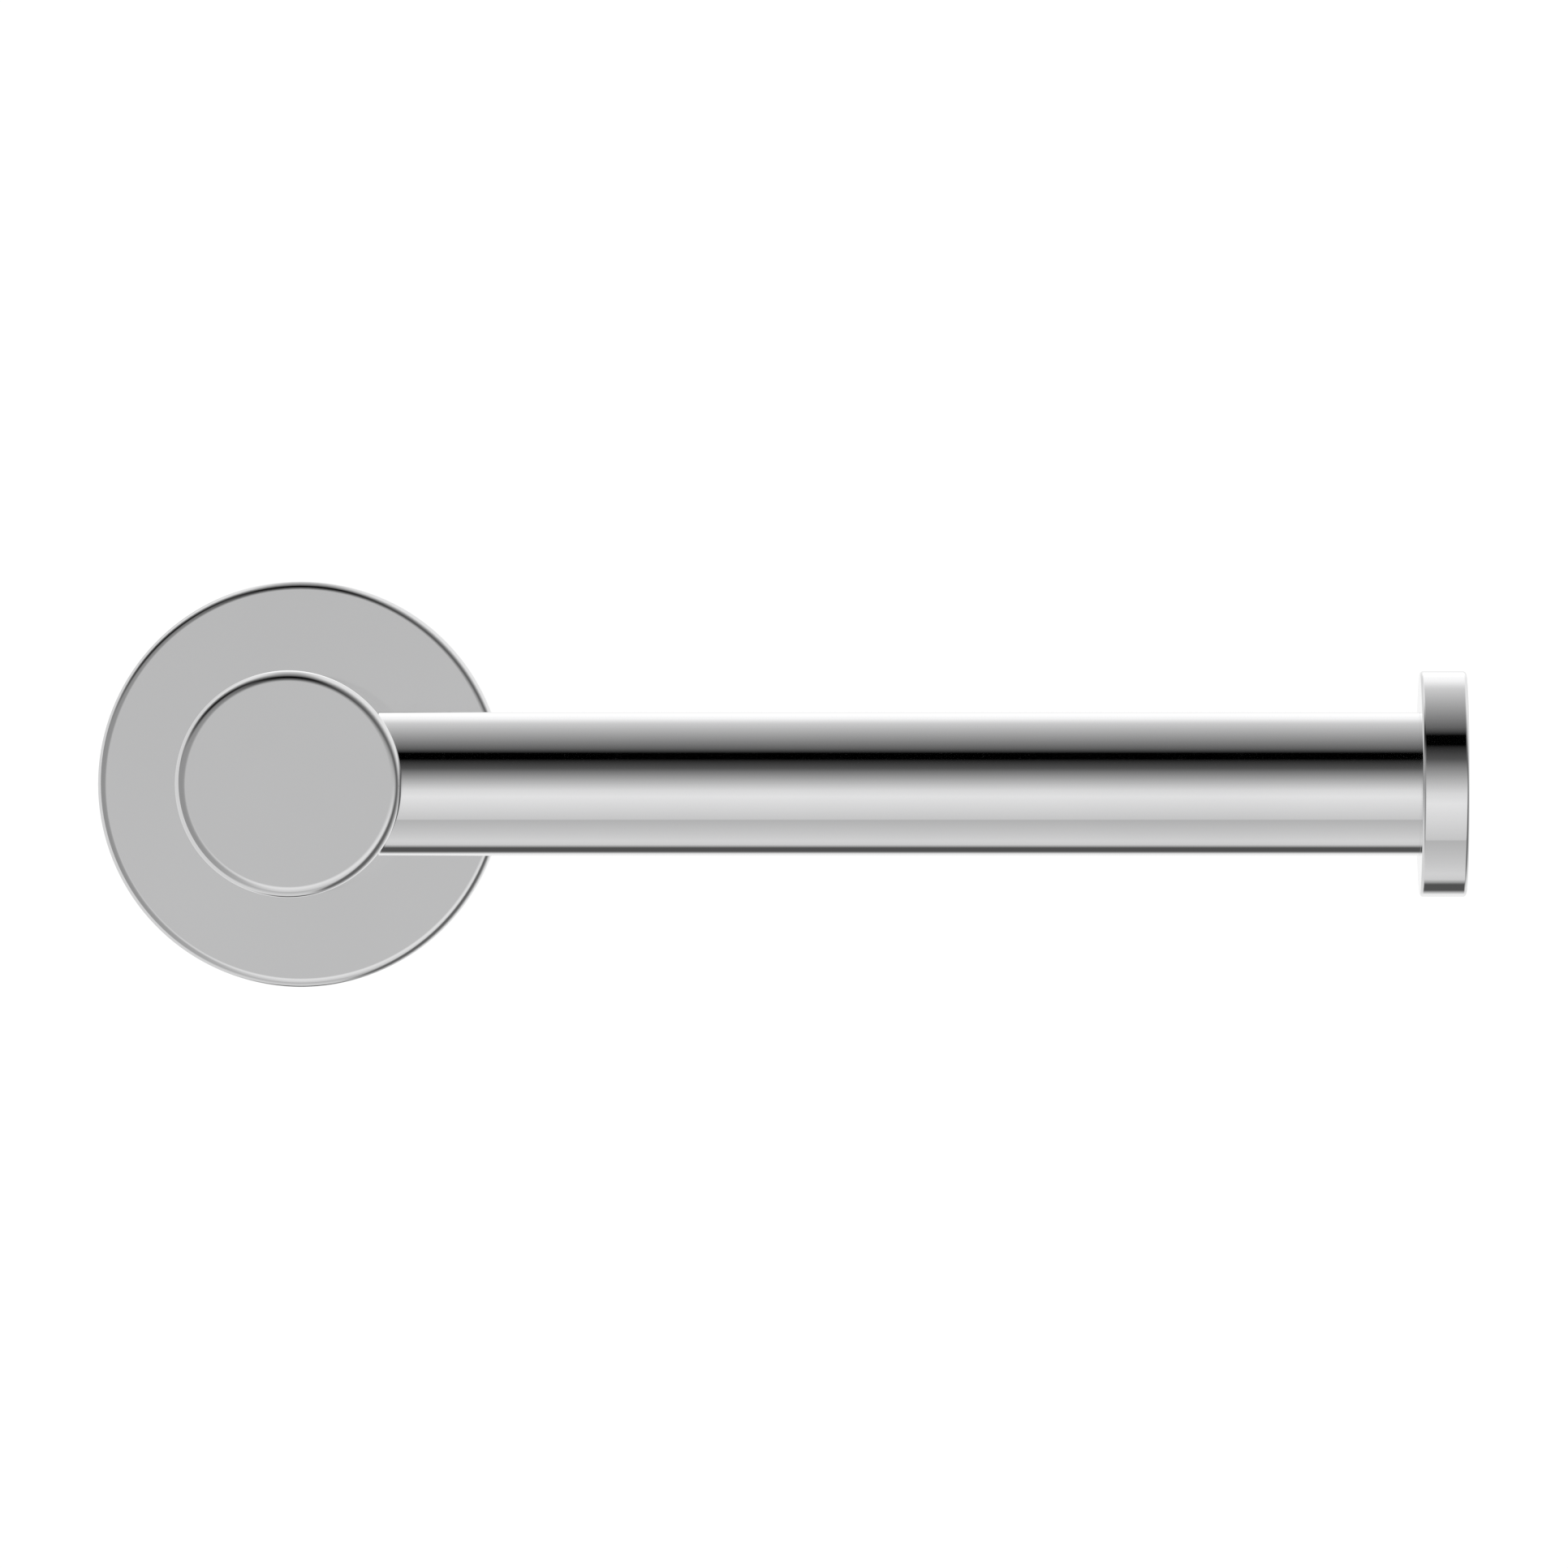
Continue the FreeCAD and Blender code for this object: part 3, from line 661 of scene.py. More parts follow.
CHROME = Finish(
    "polished_chrome", light=(0.80, 0.80, 0.805), dark=(0.785, 0.785, 0.79), patches=35.0,
    smooth=0.028, rough=0.05, grain=420.0, grain_depth=0.00004 * MM, scratches=0.025,
)
CHROME_INSIDE = Finish(
    "chrome_over_turning", light=(0.72, 0.72, 0.73), dark=(0.62, 0.62, 0.63), patches=120.0,
    smooth=0.16, rough=0.3, grain=2500.0, grain_depth=0.002 * MM, mark_pitch=0.18 * MM,
    mark_depth=0.0018 * MM,
)
ZINC = Finish(
    "cast_zinc_alloy", light=(0.46, 0.465, 0.475), dark=(0.30, 0.305, 0.315), patches=260.0,
    smooth=0.36, rough=0.58, grain=5200.0, grain_depth=0.028 * MM,
)
BRASS = Finish(
    "turned_brass_bare", light=(0.84, 0.64, 0.32), dark=(0.66, 0.45, 0.18), patches=180.0,
    smooth=0.18, rough=0.34, grain=2600.0, grain_depth=0.003 * MM, mark_pitch=0.16 * MM,
    mark_depth=0.0022 * MM,
)
STAINLESS = Finish(
    "stainless_turned", light=(0.62, 0.615, 0.60), dark=(0.50, 0.495, 0.485), patches=220.0,
    smooth=0.2, rough=0.36, grain=3000.0, grain_depth=0.003 * MM, mark_pitch=0.14 * MM,
    mark_depth=0.0015 * MM,
)
ZINC_PLATE = Finish(
    "bright_zinc_plate", light=(0.68, 0.71, 0.76), dark=(0.60, 0.58, 0.50), patches=420.0,
    smooth=0.22, rough=0.42, grain=3600.0, grain_depth=0.005 * MM,
)


class Piece:
    """One finished piece that stands for one node of the frame."""

    node: str
    name: str
    slot: Slot
    finishes: tuple[Finish, ...]

    def shape(self, skin: Skin) -> None:
        """Adds the piece's surfaces to a skin."""
        raise NotImplementedError

    def build(self) -> bpy.types.Object:
        """Makes the piece, dresses it and ties it to the frame.

        Returns:
            The finished piece.
        """
        skin = Skin()
        self.shape(skin)
        piece = skin.make(self.name)
        for finish in self.finishes:
            piece.data.materials.append(finish.material())
        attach(piece, BODY)
        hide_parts(self.node)
        log.info("%s: %d faces, %s", self.name, len(piece.data.polygons), self.finishes[0].name)
        return piece


def reach(node: str) -> tuple[Vector, Vector]:
    """Lowest and highest corner of a node of the frame."""
    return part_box(node)


FLANGE_LOW, FLANGE_HIGH = reach("flange")
POST_LOW, POST_HIGH = reach("post")
TUBE_LOW, TUBE_HIGH = reach("bar_tube")
CAP_LOW, CAP_HIGH = reach("end_cap")
PIN_LOW, PIN_HIGH = reach("locating_pin")

BAR_AXIS = (TUBE_LOW.y + TUBE_HIGH.y) / 2
TUBE_RADIUS = (TUBE_HIGH.z - TUBE_LOW.z) / 2
POST_RADIUS = -POST_LOW.z
POST_SPINDLE = Spindle(Axis.Y)
BAR_SPINDLE = Spindle(Axis.X, (0.0, BAR_AXIS, 0.0))
DOWN = math.radians(270)

M4 = Thread(2 * MM, 0.7 * MM)
M5 = Thread(2.5 * MM, 0.8 * MM)
M6 = Thread(3 * MM, 1.0 * MM)
M8 = Thread(4 * MM, 1.25 * MM)
THREAD_GAP = 0.05 * MM
SLIP_GAP = 0.02 * MM
BAR_GAP = 0.05 * MM
HOLE_SPARE = 0.5 * MM
WEB = 3.0 * MM
WEB_BACK = FLANGE_LOW.y + WEB
PIN_HEIGHT = (PIN_LOW.z + PIN_HIGH.z) / 2
PIN_RADIUS = (PIN_HIGH.x - PIN_LOW.x) / 2


@dataclass
class WallBracket(Piece):
    """Die-cast disc with two countersunk slots, two pockets and a V-groove round its rim."""

    bore: float = 8.5 * MM
    groove_depth: float = 1.5 * MM
    groove_flat: float = 0.5 * MM
    edge: float = 0.3 * MM
    front_chamfer: float = 0.5 * MM
    slot_place: float = 16.5 * MM
    slot_travel: float = 1.2 * MM
    slot_radius: float = 2.3 * MM
    countersink: float = 1.7 * MM
    pocket_inner: float = 12.5 * MM
    pocket_outer: float = 20.0 * MM
    pocket_half_angle: float = math.radians(38)
    pocket_depth: float = 3.0 * MM
    pocket_corner: float = 1.4 * MM
    pocket_draft: float = 0.12 * MM
    pocket_floor_edge: float = 0.6 * MM
    ejector_radius: float = 1.3 * MM
    ejector_depth: float = 0.15 * MM
    ejector_place: float = 16.0 * MM
    ejector_angle: float = math.radians(32)
    groove_lip: float = 0.15 * MM
    groove_corner: float = 0.2 * MM
    sink_corner: float = 0.2 * MM
    soft_corner: float = 0.1 * MM

    node = "wall_bracket"
    name = "wall_bracket_casting"
    slot = Slot.ZINC
    finishes = (ZINC,)

    def __post_init__(self) -> None:
        """Takes the overall size from the frame."""
        low, high = reach(self.node)
        self.radius, self.front = high.x, low.y

    def slot_ring(self, inset: float, depth: float, way: int) -> np.ndarray:
        """Outline of a slot, drawn in by an inset, at a depth from the wall."""
        turn = np.linspace(-math.pi / 2, math.pi / 2, 17)
        size = self.slot_radius - inset
        end = np.stack([self.slot_travel + size * np.cos(turn), size * np.sin(turn)], -1)
        x, z = np.concatenate([end, -end]).T
        return np.stack([way * (self.slot_place + x), np.full_like(x, -depth), z], -1)

    def pocket_ring(self, inset: float, depth: float, way: int) -> np.ndarray:
        """Outline of a pocket with rounded corners, drawn in by an inset, at a depth."""
        inner, outer, corner = self.pocket_inner, self.pocket_outer, self.pocket_corner
        half, points = self.pocket_half_angle, []
        for base, sign in ((outer, -1), (inner, 1)):
            distance = base + sign * corner
            swing = half - math.asin(corner / distance)
            centre = distance * np.array((math.sin(swing), math.cos(swing)))
            radial = math.pi / 2 - swing if sign < 0 else 3 * math.pi / 2 - swing
            flank = -half
            turn = np.linspace(radial, flank, 7) if sign < 0 else np.linspace(flank + math.tau, radial, 7)
            arc = centre + (corner - inset) * np.stack([np.cos(turn), np.sin(turn)], -1)
            middle = base + sign * inset
            sweep = np.linspace(0, swing, 13)[:-1] if sign < 0 else np.linspace(swing, 0, 13)[1:]
            long_arc = middle * np.stack([np.sin(sweep), np.cos(sweep)], -1)
            points += [long_arc, arc] if sign < 0 else [arc, long_arc]
        right = np.concatenate(points)
        left = (right * (-1, 1))[::-1][1:-1]
        x, z = np.concatenate([right, left]).T
        return np.stack([x, np.full_like(x, -depth), way * z], -1)

    def shape(self, skin: Skin) -> None:
        """Adds the rim, the bore, the slots, the pockets and the marks of the ejector pins."""
        thickness, rim = -self.front, self.radius
        middle, groove = self.front / 2, self.groove_depth + self.groove_flat
        floor = rim - self.groove_depth
        skin.turn(POST_SPINDLE, [
            Corner(0, rim - self.edge), Corner(0, rim, self.edge),
            Corner(middle + groove, rim, self.groove_lip),
            Corner(middle + self.groove_flat, floor, self.groove_corner),
            Corner(middle - self.groove_flat, floor, self.groove_corner),
            Corner(middle - groove, rim, self.groove_lip),
            Corner(self.front + self.front_chamfer, rim, self.soft_corner),
            Corner(self.front, rim - self.front_chamfer),
        ])
        skin.turn(POST_SPINDLE, [
            Corner(self.front, self.bore + self.edge), Corner(self.front, self.bore, self.edge),
            Corner(0, self.bore, self.edge), Corner(0, self.bore + self.edge),
        ])
        angles = ROUND.angles(rim)
        back_edges = (rim - self.edge, self.bore + self.edge)
        front_edges = (rim - self.front_chamfer, self.bore + self.edge)
        back = [POST_SPINDLE.points(0.0, radius, angles) for radius in back_edges]
        front = [POST_SPINDLE.points(self.front, radius, angles) for radius in front_edges]
        for way in (1, -1):
            walls = self._walls(thickness)
            rings = [self.slot_ring(inset, depth, way) for depth, inset in walls]
            skin.loft(rings, Side.INNER)
            back.append(rings[0])
            front.append(rings[-1])
            rings = [self.pocket_ring(inset, depth, way) for depth, inset in self._pocket_walls()]
            skin.loft(rings, Side.INNER)
            skin.flat((0, 1, 0), rings[-1])
            back.append(rings[0])
            for side in (1, -1):
                back.append(self._ejector_mark(skin, side * way * self.ejector_angle + (way < 0) * math.pi))
        skin.flat((0, 1, 0), *back)
        skin.flat((0, -1, 0), *front)

    def _walls(self, thickness: float) -> np.ndarray:
        """Depths and insets of a slot's rings, from the wall to the front."""
        sink = thickness - self.countersink
        (run, _), = smooth_runs([
            Corner(0, -self.edge), Corner(0, 0, self.edge), Corner(sink, 0, self.sink_corner),
            Corner(thickness, -self.countersink, self.soft_corner),
            Corner(thickness, -self.countersink - self.edge),
        ])
        return run

    def _pocket_walls(self) -> np.ndarray:
        """Depths and insets of a pocket's rings, from the wall to its floor."""
        (run, _), = smooth_runs([
            Corner(0, -self.edge), Corner(0, 0, self.edge),
            Corner(self.pocket_depth, self.pocket_draft, self.pocket_floor_edge),
            Corner(self.pocket_depth, self.pocket_draft + self.pocket_floor_edge * 1.5),
        ])
        return run

    def _ejector_mark(self, skin: Skin, angle: float) -> np.ndarray:
        """Adds the shallow round mark of an ejector pin and returns its rim."""
        centre = POST_SPINDLE.points(0.0, self.ejector_place, angle)
        spindle = Spindle(Axis.Y, tuple(centre))
        turn = np.linspace(0, math.tau, 32, endpoint=False)
        depth, radius = self.ejector_depth, self.ejector_radius
        rings = [spindle.points(0.0, radius + depth, turn), spindle.points(-depth, radius, turn)]
        skin.loft(rings, Side.INNER)
        skin.flat((0, 1, 0), rings[-1])
        return rings[0]


@dataclass
class FlangeCup(Piece):
    """Round cup that hides the bracket, bored for the post screw, the pin and the set screw."""

    wall: float = 4.0 * MM
    edge: float = 1.2 * MM
    chamfer: float = 0.3 * MM
    inside_corner: float = 0.8 * MM
    screw_hole: float = 4.2 * MM
    broken_edge: float = 0.2 * MM
    soft_corner: float = 0.1 * MM

    node = "flange"
    name = "flange_cup"
    slot = Slot.CHROME
    finishes = (CHROME, CHROME_INSIDE)

    def __post_init__(self) -> None:
        """Takes the overall size and the set screw's place from the frame."""
        self.radius, self.front = FLANGE_HIGH.x, FLANGE_LOW.y
        low, high = reach("set_screw")
        self.screw_place, self.screw_radius = (low.y + high.y) / 2, (high.x - low.x) / 2

    def shape(self, skin: Skin) -> None:
        """Adds the outside, the inside, the web's holes and the set screw's hole."""
        turned, inner = POST_SPINDLE, self.radius - self.wall
        broken = self.broken_edge
        hole = CrossHole(DOWN, self.screw_place, self.screw_radius + THREAD_GAP + broken)
        spokes = Spokes((hole,))
        skin.turn(turned, [
            Corner(-self.chamfer, inner), Corner(0, inner + self.chamfer),
            Corner(0, self.radius - self.chamfer, self.soft_corner), Corner(-self.chamfer, self.radius),
        ], spokes, finish=1)
        skin.pierced(turned, self.radius, self.front + self.edge, -self.chamfer, spokes)
        skin.turn(turned, [
            Corner(self.front + self.edge, self.radius), Corner(self.front, self.radius, self.edge),
            Corner(self.front, self.radius - self.edge),
        ], spokes)
        skin.turn(turned, [
            Corner(self.front, self.screw_hole + broken), Corner(self.front, self.screw_hole, broken),
            Corner(WEB_BACK, self.screw_hole, broken), Corner(WEB_BACK, self.screw_hole + broken),
        ], finish=1)
        corner = self.inside_corner
        skin.turn(turned, [
            Corner(WEB_BACK, inner - corner), Corner(WEB_BACK, inner, corner),
            Corner(WEB_BACK + corner, inner),
        ], spokes, finish=1)
        skin.pierced(turned, inner, WEB_BACK + corner, -self.chamfer, spokes, Side.INNER, finish=1)
        skin.loft(hole.edge(turned, self.radius, broken) + hole.edge(turned, inner, broken, Side.INNER)[::-1],
                  Side.INNER, finish=1)
        pin = Spindle(Axis.Y, (0.0, 0.0, PIN_HEIGHT))
        pin_angles = SMALL_ROUND.angles(PIN_RADIUS)
        ends = [pin.points(level, PIN_RADIUS + SLIP_GAP, pin_angles) for level in (self.front, WEB_BACK)]
        skin.loft(ends, Side.INNER, finish=1)
        for level, way, outline, pin_rim in (
            (self.front, -1, self.radius - self.edge, ends[0]),
            (WEB_BACK, 1, inner - corner, ends[1]),
        ):
            skin.flat(
                (0, way, 0), turned.points(level, outline, spokes.angles(outline)),
                turned.points(level, self.screw_hole + broken, ROUND.angles(self.screw_hole)), pin_rim,
                finish=int(way > 0),
            )


@dataclass
class PostRod(Piece):
    """Solid turned post with a seat for the bar, a tapped hole in its back and a lock screw's hole."""

    edge: float = 1.45 * MM
    foot_edge: float = 0.15 * MM
    seat_edge: float = 0.06 * MM
    broken_edge: float = 0.2 * MM
    tap_spare: float = 2.8 * MM
    drill_slope: float = 0.6

    node = "post"
    name = "post_rod"
    slot = Slot.CHROME
    finishes = (CHROME, CHROME_INSIDE)

    def __post_init__(self) -> None:
        """Takes the places of what the post holds from the frame."""
        self.back, self.front = POST_HIGH.y, POST_LOW.y
        spigot_low, spigot_high = reach("bar_spigot")
        lock_low, lock_high = reach("bar_lock_screw")
        self.bar_seat = TUBE_LOW.x
        self.spigot_radius = (spigot_high.z - spigot_low.z) / 2 + SLIP_GAP
        self.spigot_end = spigot_low.x - HOLE_SPARE
        self.lock_place = (lock_low.x + lock_high.x) / 2
        self.lock_radius = (lock_high.x - lock_low.x) / 2 + THREAD_GAP
        self.tap_end = reach("post_screw")[0].y - self.tap_spare
        self.pin_end = PIN_LOW.y - HOLE_SPARE

    def shape(self, skin: Skin) -> None:
        """Adds the outside, then each hole."""
        broken = self.broken_edge
        seat = CrossHole(0.0, BAR_AXIS, TUBE_RADIUS + BAR_GAP + self.seat_edge, count=144)
        lock = CrossHole(DOWN, BAR_AXIS, self.lock_radius + broken, offset=self.lock_place)
        spokes = Spokes((seat, lock))
        skin.turn(POST_SPINDLE, [
            Corner(self.back, POST_RADIUS - self.foot_edge), Corner(self.back, POST_RADIUS, self.foot_edge),
            Corner(self.back - self.foot_edge, POST_RADIUS),
        ], spokes)
        skin.pierced(POST_SPINDLE, POST_RADIUS, self.front + self.edge, self.back - self.foot_edge, spokes)
        skin.turn(POST_SPINDLE, [
            Corner(self.front + self.edge, POST_RADIUS), Corner(self.front, POST_RADIUS, self.edge),
            Corner(self.front, POST_RADIUS - self.edge),
        ], spokes)
        rim = POST_RADIUS - self.edge
        skin.flat((0, -1, 0), POST_SPINDLE.points(self.front, rim, spokes.angles(rim)))
        self._back(skin, spokes)
        self._bar_seat(skin, seat, lock)

    def _back(self, skin: Skin, spokes: Spokes) -> None:
        """Adds the back face with the tapped hole and the pin's hole."""
        mouth = M8.radius + THREAD_GAP + self.broken_edge
        end = M8.radius + THREAD_GAP
        M8.cut(skin, POST_SPINDLE, Corner(self.tap_end, end), Corner(self.back, mouth), Side.INNER,
               THREAD_GAP)
        skin.turn(POST_SPINDLE, [
            Corner(self.tap_end, end), Corner(self.tap_end - end * self.drill_slope, 0),
        ][::-1], SMALL_ROUND, finish=1)
        pin = Spindle(Axis.Y, (0.0, 0.0, PIN_HEIGHT))
        radius, angles = PIN_RADIUS + SLIP_GAP, SMALL_ROUND.angles(PIN_RADIUS)
        rims = [pin.points(level, radius, angles) for level in (self.back, self.pin_end)]
        skin.loft(rims, Side.INNER, finish=1)
        skin.flat((0, 1, 0), rims[1], finish=1)
        outline = POST_RADIUS - self.foot_edge
        skin.flat((0, 1, 0), POST_SPINDLE.points(self.back, outline, spokes.angles(outline)),
                  POST_SPINDLE.points(self.back, mouth, SMALL_ROUND.angles(mouth)), rims[0], finish=1)

    def _bar_seat(self, skin: Skin, seat: CrossHole, lock: CrossHole) -> None:
        """Adds the bar's seat, the spigot's bore in it and the lock screw's hole into that bore."""
        turn = np.linspace(0, math.tau, seat.count, endpoint=False)
        floor = BAR_SPINDLE.points(self.bar_seat, seat.radius - self.seat_edge, turn)
        skin.loft([*seat.edge(POST_SPINDLE, POST_RADIUS, self.seat_edge), floor], Side.INNER, finish=1)
        broken, bore = self.broken_edge, self.spigot_radius
        inner = CrossHole(DOWN, self.lock_place, lock.radius)
        spokes = Spokes((inner,), count=96)
        mouth = BAR_SPINDLE.points(self.bar_seat, bore, spokes.angles(bore))
        skin.flat((1, 0, 0), floor, mouth, finish=1)
        skin.pierced(BAR_SPINDLE, bore, self.spigot_end, self.bar_seat, spokes, Side.INNER, finish=1)
        skin.flat((1, 0, 0), BAR_SPINDLE.points(self.spigot_end, bore, spokes.angles(bore)), finish=1)
        skin.loft(
            lock.edge(POST_SPINDLE, POST_RADIUS, broken)
            + inner.edge(BAR_SPINDLE, bore, broken, Side.INNER, quarter_turned=True)[::-1],
            Side.INNER, finish=1,
        )


@dataclass
class BarTube(Piece):
    """Straight tube that the roll hangs on."""

    wall: float = 1.5 * MM
    broken_edge: float = 0.15 * MM

    node = "bar_tube"
    name = "roll_bar_tube"
    slot = Slot.CHROME
    finishes = (CHROME,)

    def shape(self, skin: Skin) -> None:
        """Adds the tube's whole section."""
        inside, broken = TUBE_RADIUS - self.wall, self.broken_edge
        skin.turn(BAR_SPINDLE, [
            Corner(TUBE_HIGH.x, inside, broken), Corner(TUBE_HIGH.x, TUBE_RADIUS, broken),
            Corner(TUBE_LOW.x, TUBE_RADIUS, broken), Corner(TUBE_LOW.x, inside, broken),
        ], FINE_ROUND, closed=True)


@dataclass
class EndCap(Piece):
    """Disc that keeps the roll on, with the tube's seat and a tapped hole in its inner face."""

    edge: float = 0.5 * MM
    seat_edge: float = 0.08 * MM
    tap_chamfer: float = 0.3 * MM
    tap_spare: float = 0.5 * MM

    node = "end_cap"
    name = "end_cap_disc"
    slot = Slot.CHROME
    finishes = (CHROME, CHROME_INSIDE)

    def shape(self, skin: Skin) -> None:
        """Adds the disc, the seat and the tapped hole."""
        radius, seat, recess = CAP_HIGH.z, TUBE_RADIUS + BAR_GAP, TUBE_HIGH.x
        bore = M6.radius + THREAD_GAP
        mouth, end = bore + self.tap_chamfer, reach("cap_stud")[1].x + self.tap_spare
        skin.turn(BAR_SPINDLE, [
            Corner(CAP_HIGH.x, 0), Corner(CAP_HIGH.x, radius, self.edge),
            Corner(CAP_LOW.x, radius, self.edge), Corner(CAP_LOW.x, seat, self.seat_edge),
            Corner(CAP_LOW.x + self.edge, seat),
        ], FINE_ROUND)
        skin.turn(BAR_SPINDLE, [
            Corner(CAP_LOW.x + self.edge, seat), Corner(recess, seat), Corner(recess, mouth),
        ], FINE_ROUND, finish=1)
        M6.cut(skin, BAR_SPINDLE, Corner(recess, mouth), Corner(end, bore), Side.INNER, THREAD_GAP,
               FINE_ROUND)
        skin.turn(BAR_SPINDLE, [Corner(end, bore), Corner(end, 0)], FINE_ROUND, finish=1)


@dataclass
class Plug(Piece):
    """Tapped plug that is brazed into one end of the tube, with a groove for the braze."""

    node: str
    name: str
    thread: Thread
    mouth_at_start: bool
    chamfer: float = 0.5 * MM
    broken_edge: float = 0.3 * MM
    groove_width: float = 1.2 * MM
    groove_depth: float = 0.4 * MM

    slot = Slot.BRASS
    finishes = (BRASS,)

    def shape(self, skin: Skin) -> None:
        """Adds the outside with its braze groove, the ends and the thread."""
        low, high = reach(self.node)
        radius, broken, bore = high.z, self.broken_edge, self.thread.radius + THREAD_GAP
        starts = (bore + self.chamfer, bore + broken)
        near, far = starts if self.mouth_at_start else starts[::-1]
        middle, half = (low.x + high.x) / 2, self.groove_width / 2
        floor, soft = radius - self.groove_depth, self.groove_depth / 3
        skin.turn(BAR_SPINDLE, [
            Corner(high.x, far), Corner(high.x, radius, broken),
            Corner(middle + half, radius, soft), Corner(middle + half, floor, soft),
            Corner(middle - half, floor, soft), Corner(middle - half, radius, soft),
            Corner(low.x, radius, broken), Corner(low.x, near),
        ], SMALL_ROUND)
        self.thread.cut(skin, BAR_SPINDLE, Corner(low.x, near), Corner(high.x, far), Side.INNER, THREAD_GAP)


@dataclass
class Spigot(Piece):
    """Stepped pin: a thread for the bar's plug, and a plain end with a groove and a socket."""

    groove_depth: float = 1.2 * MM
    groove_flat: float = 0.5 * MM
    chamfer: float = 0.5 * MM
    socket: HexSocket = HexSocket(5 * MM, 4 * MM)

    node = "bar_spigot"
    name = "bar_spigot_pin"
    slot = Slot.STAINLESS
    finishes = (STAINLESS,)

    def shape(self, skin: Skin) -> None:
        """Adds the thread, the shoulder, the groove and the socket."""
        low, high = reach(self.node)
        shoulder, radius, root = TUBE_LOW.x, high.z, M8.root
        middle, half = (low.x + shoulder) / 2, self.groove_flat + self.groove_depth
        floor, soft = radius - self.groove_depth, self.groove_depth / 8
        skin.turn(BAR_SPINDLE, [Corner(high.x, 0), Corner(high.x, root)], SMALL_ROUND)
        M8.cut(skin, BAR_SPINDLE, Corner(shoulder, root), Corner(high.x, root), Side.OUTER)
        skin.turn(BAR_SPINDLE, [
            Corner(shoulder, root), Corner(shoulder, radius, soft),
            Corner(middle + half, radius, soft), Corner(middle + self.groove_flat, floor, soft),
            Corner(middle - self.groove_flat, floor, soft), Corner(middle - half, radius, soft),
            Corner(low.x + self.chamfer, radius, soft), Corner(low.x, radius - self.chamfer, soft),
            Corner(low.x, self.socket.mouth),
        ], SMALL_ROUND)
        self.socket.cut(skin, BAR_SPINDLE, low.x, 1)


@dataclass
class CapStud(Piece):
    """Stud that joins the cap to the bar's end plug, driven by a socket in its inner end."""

    socket: HexSocket = HexSocket(3 * MM, 3 * MM)

    node = "cap_stud"
    name = "cap_stud_m6"
    slot = Slot.STAINLESS
    finishes = (STAINLESS,)

    def shape(self, skin: Skin) -> None:
        """Adds the thread, the two ends and the socket."""
        low, high = reach(self.node)
        near, far = Corner(low.x, M6.root), Corner(high.x, M6.root)
        skin.turn(BAR_SPINDLE, [Corner(high.x, 0), far], SMALL_ROUND)
        M6.cut(skin, BAR_SPINDLE, near, far, Side.OUTER)
        skin.turn(BAR_SPINDLE, [near, Corner(low.x, self.socket.mouth)], SMALL_ROUND)
        self.socket.cut(skin, BAR_SPINDLE, low.x, 1)


@dataclass
class PostScrew(Piece):
    """Low-head socket screw that draws the post onto the flange."""

    head_edge: float = 0.5 * MM
    seat_edge: float = 0.15 * MM
    socket: HexSocket = HexSocket(5 * MM, 3 * MM)

    node = "post_screw"
    name = "post_screw_m8"
    slot = Slot.PLATED
    finishes = (ZINC_PLATE,)

    def shape(self, skin: Skin) -> None:
        """Adds the head, the thread and the socket."""
        low, high = reach(self.node)
        seat, head = reach("post_washer")[1].y, high.x
        near, far = Corner(low.y, M8.root), Corner(seat, M8.root)
        skin.turn(POST_SPINDLE, [
            Corner(high.y, self.socket.mouth), Corner(high.y, head, self.head_edge),
            Corner(seat, head, self.seat_edge), far,
        ], SMALL_ROUND)
        M8.cut(skin, POST_SPINDLE, near, far, Side.OUTER)
        skin.turn(POST_SPINDLE, [near, Corner(low.y, 0)], SMALL_ROUND)
        self.socket.cut(skin, POST_SPINDLE, high.y, -1)


@dataclass
class LockWasher(Piece):
    """Lock washer whose outer teeth are twisted so that they bite."""

    teeth: int = 12
    notch: float = 0.8 * MM
    sheet_thickness: float = 0.46 * MM
    bore_spare: float = 0.2 * MM

    node = "post_washer"
    name = "toothed_lock_washer"
    slot = Slot.PLATED
    finishes = (ZINC_PLATE,)

    def shape(self, skin: Skin) -> None:
        """Adds the two faces, the rim of teeth and the bore."""
        low, high = reach(self.node)
        outer, bore = high.x, M8.radius + self.bore_spare
        middle, half = (low.y + high.y) / 2, self.sheet_thickness / 2
        twist = (high.y - low.y) / 2 - half
        pitch = math.tau / self.teeth
        notch_edge = math.asin(self.notch / outer)
        turn = np.linspace(math.pi / 2, -math.pi / 2, 9)
        tooth = np.linspace(notch_edge - pitch / 2, pitch / 2 - notch_edge, 9)
        gap = np.stack([outer - self.notch - self.notch * np.cos(turn), -self.notch * np.sin(turn)], -1)
        radii = np.concatenate([np.full_like(tooth, outer), np.hypot(*gap.T)])
        angles = np.concatenate([tooth, pitch / 2 + np.arctan2(gap[:, 1], gap[:, 0])])
        lean = np.clip(((angles + pitch / 2) % pitch - pitch / 2) / tooth[-1], -1, 1)
        lean[len(tooth):] *= np.abs(np.linspace(1, -1, len(gap)))
        angles = np.concatenate([angles + number * pitch for number in range(self.teeth)])
        radii, lean = np.tile(radii, self.teeth), np.tile(lean, self.teeth)
        faces = []
        for side in (1, -1):
            rings = []
            for share in np.linspace(0, 1, 6):
                raised = middle + side * half + twist * lean * share ** 2
                rings.append(POST_SPINDLE.points(raised, bore + (radii - bore) * share, angles))
            skin.loft(rings, (0.0, side, 0.0))
            faces.append(rings)
        skin.loft([faces[0][-1], faces[1][-1]], Side.OUTER)
        skin.loft([faces[0][0], faces[1][0]], Side.INNER)


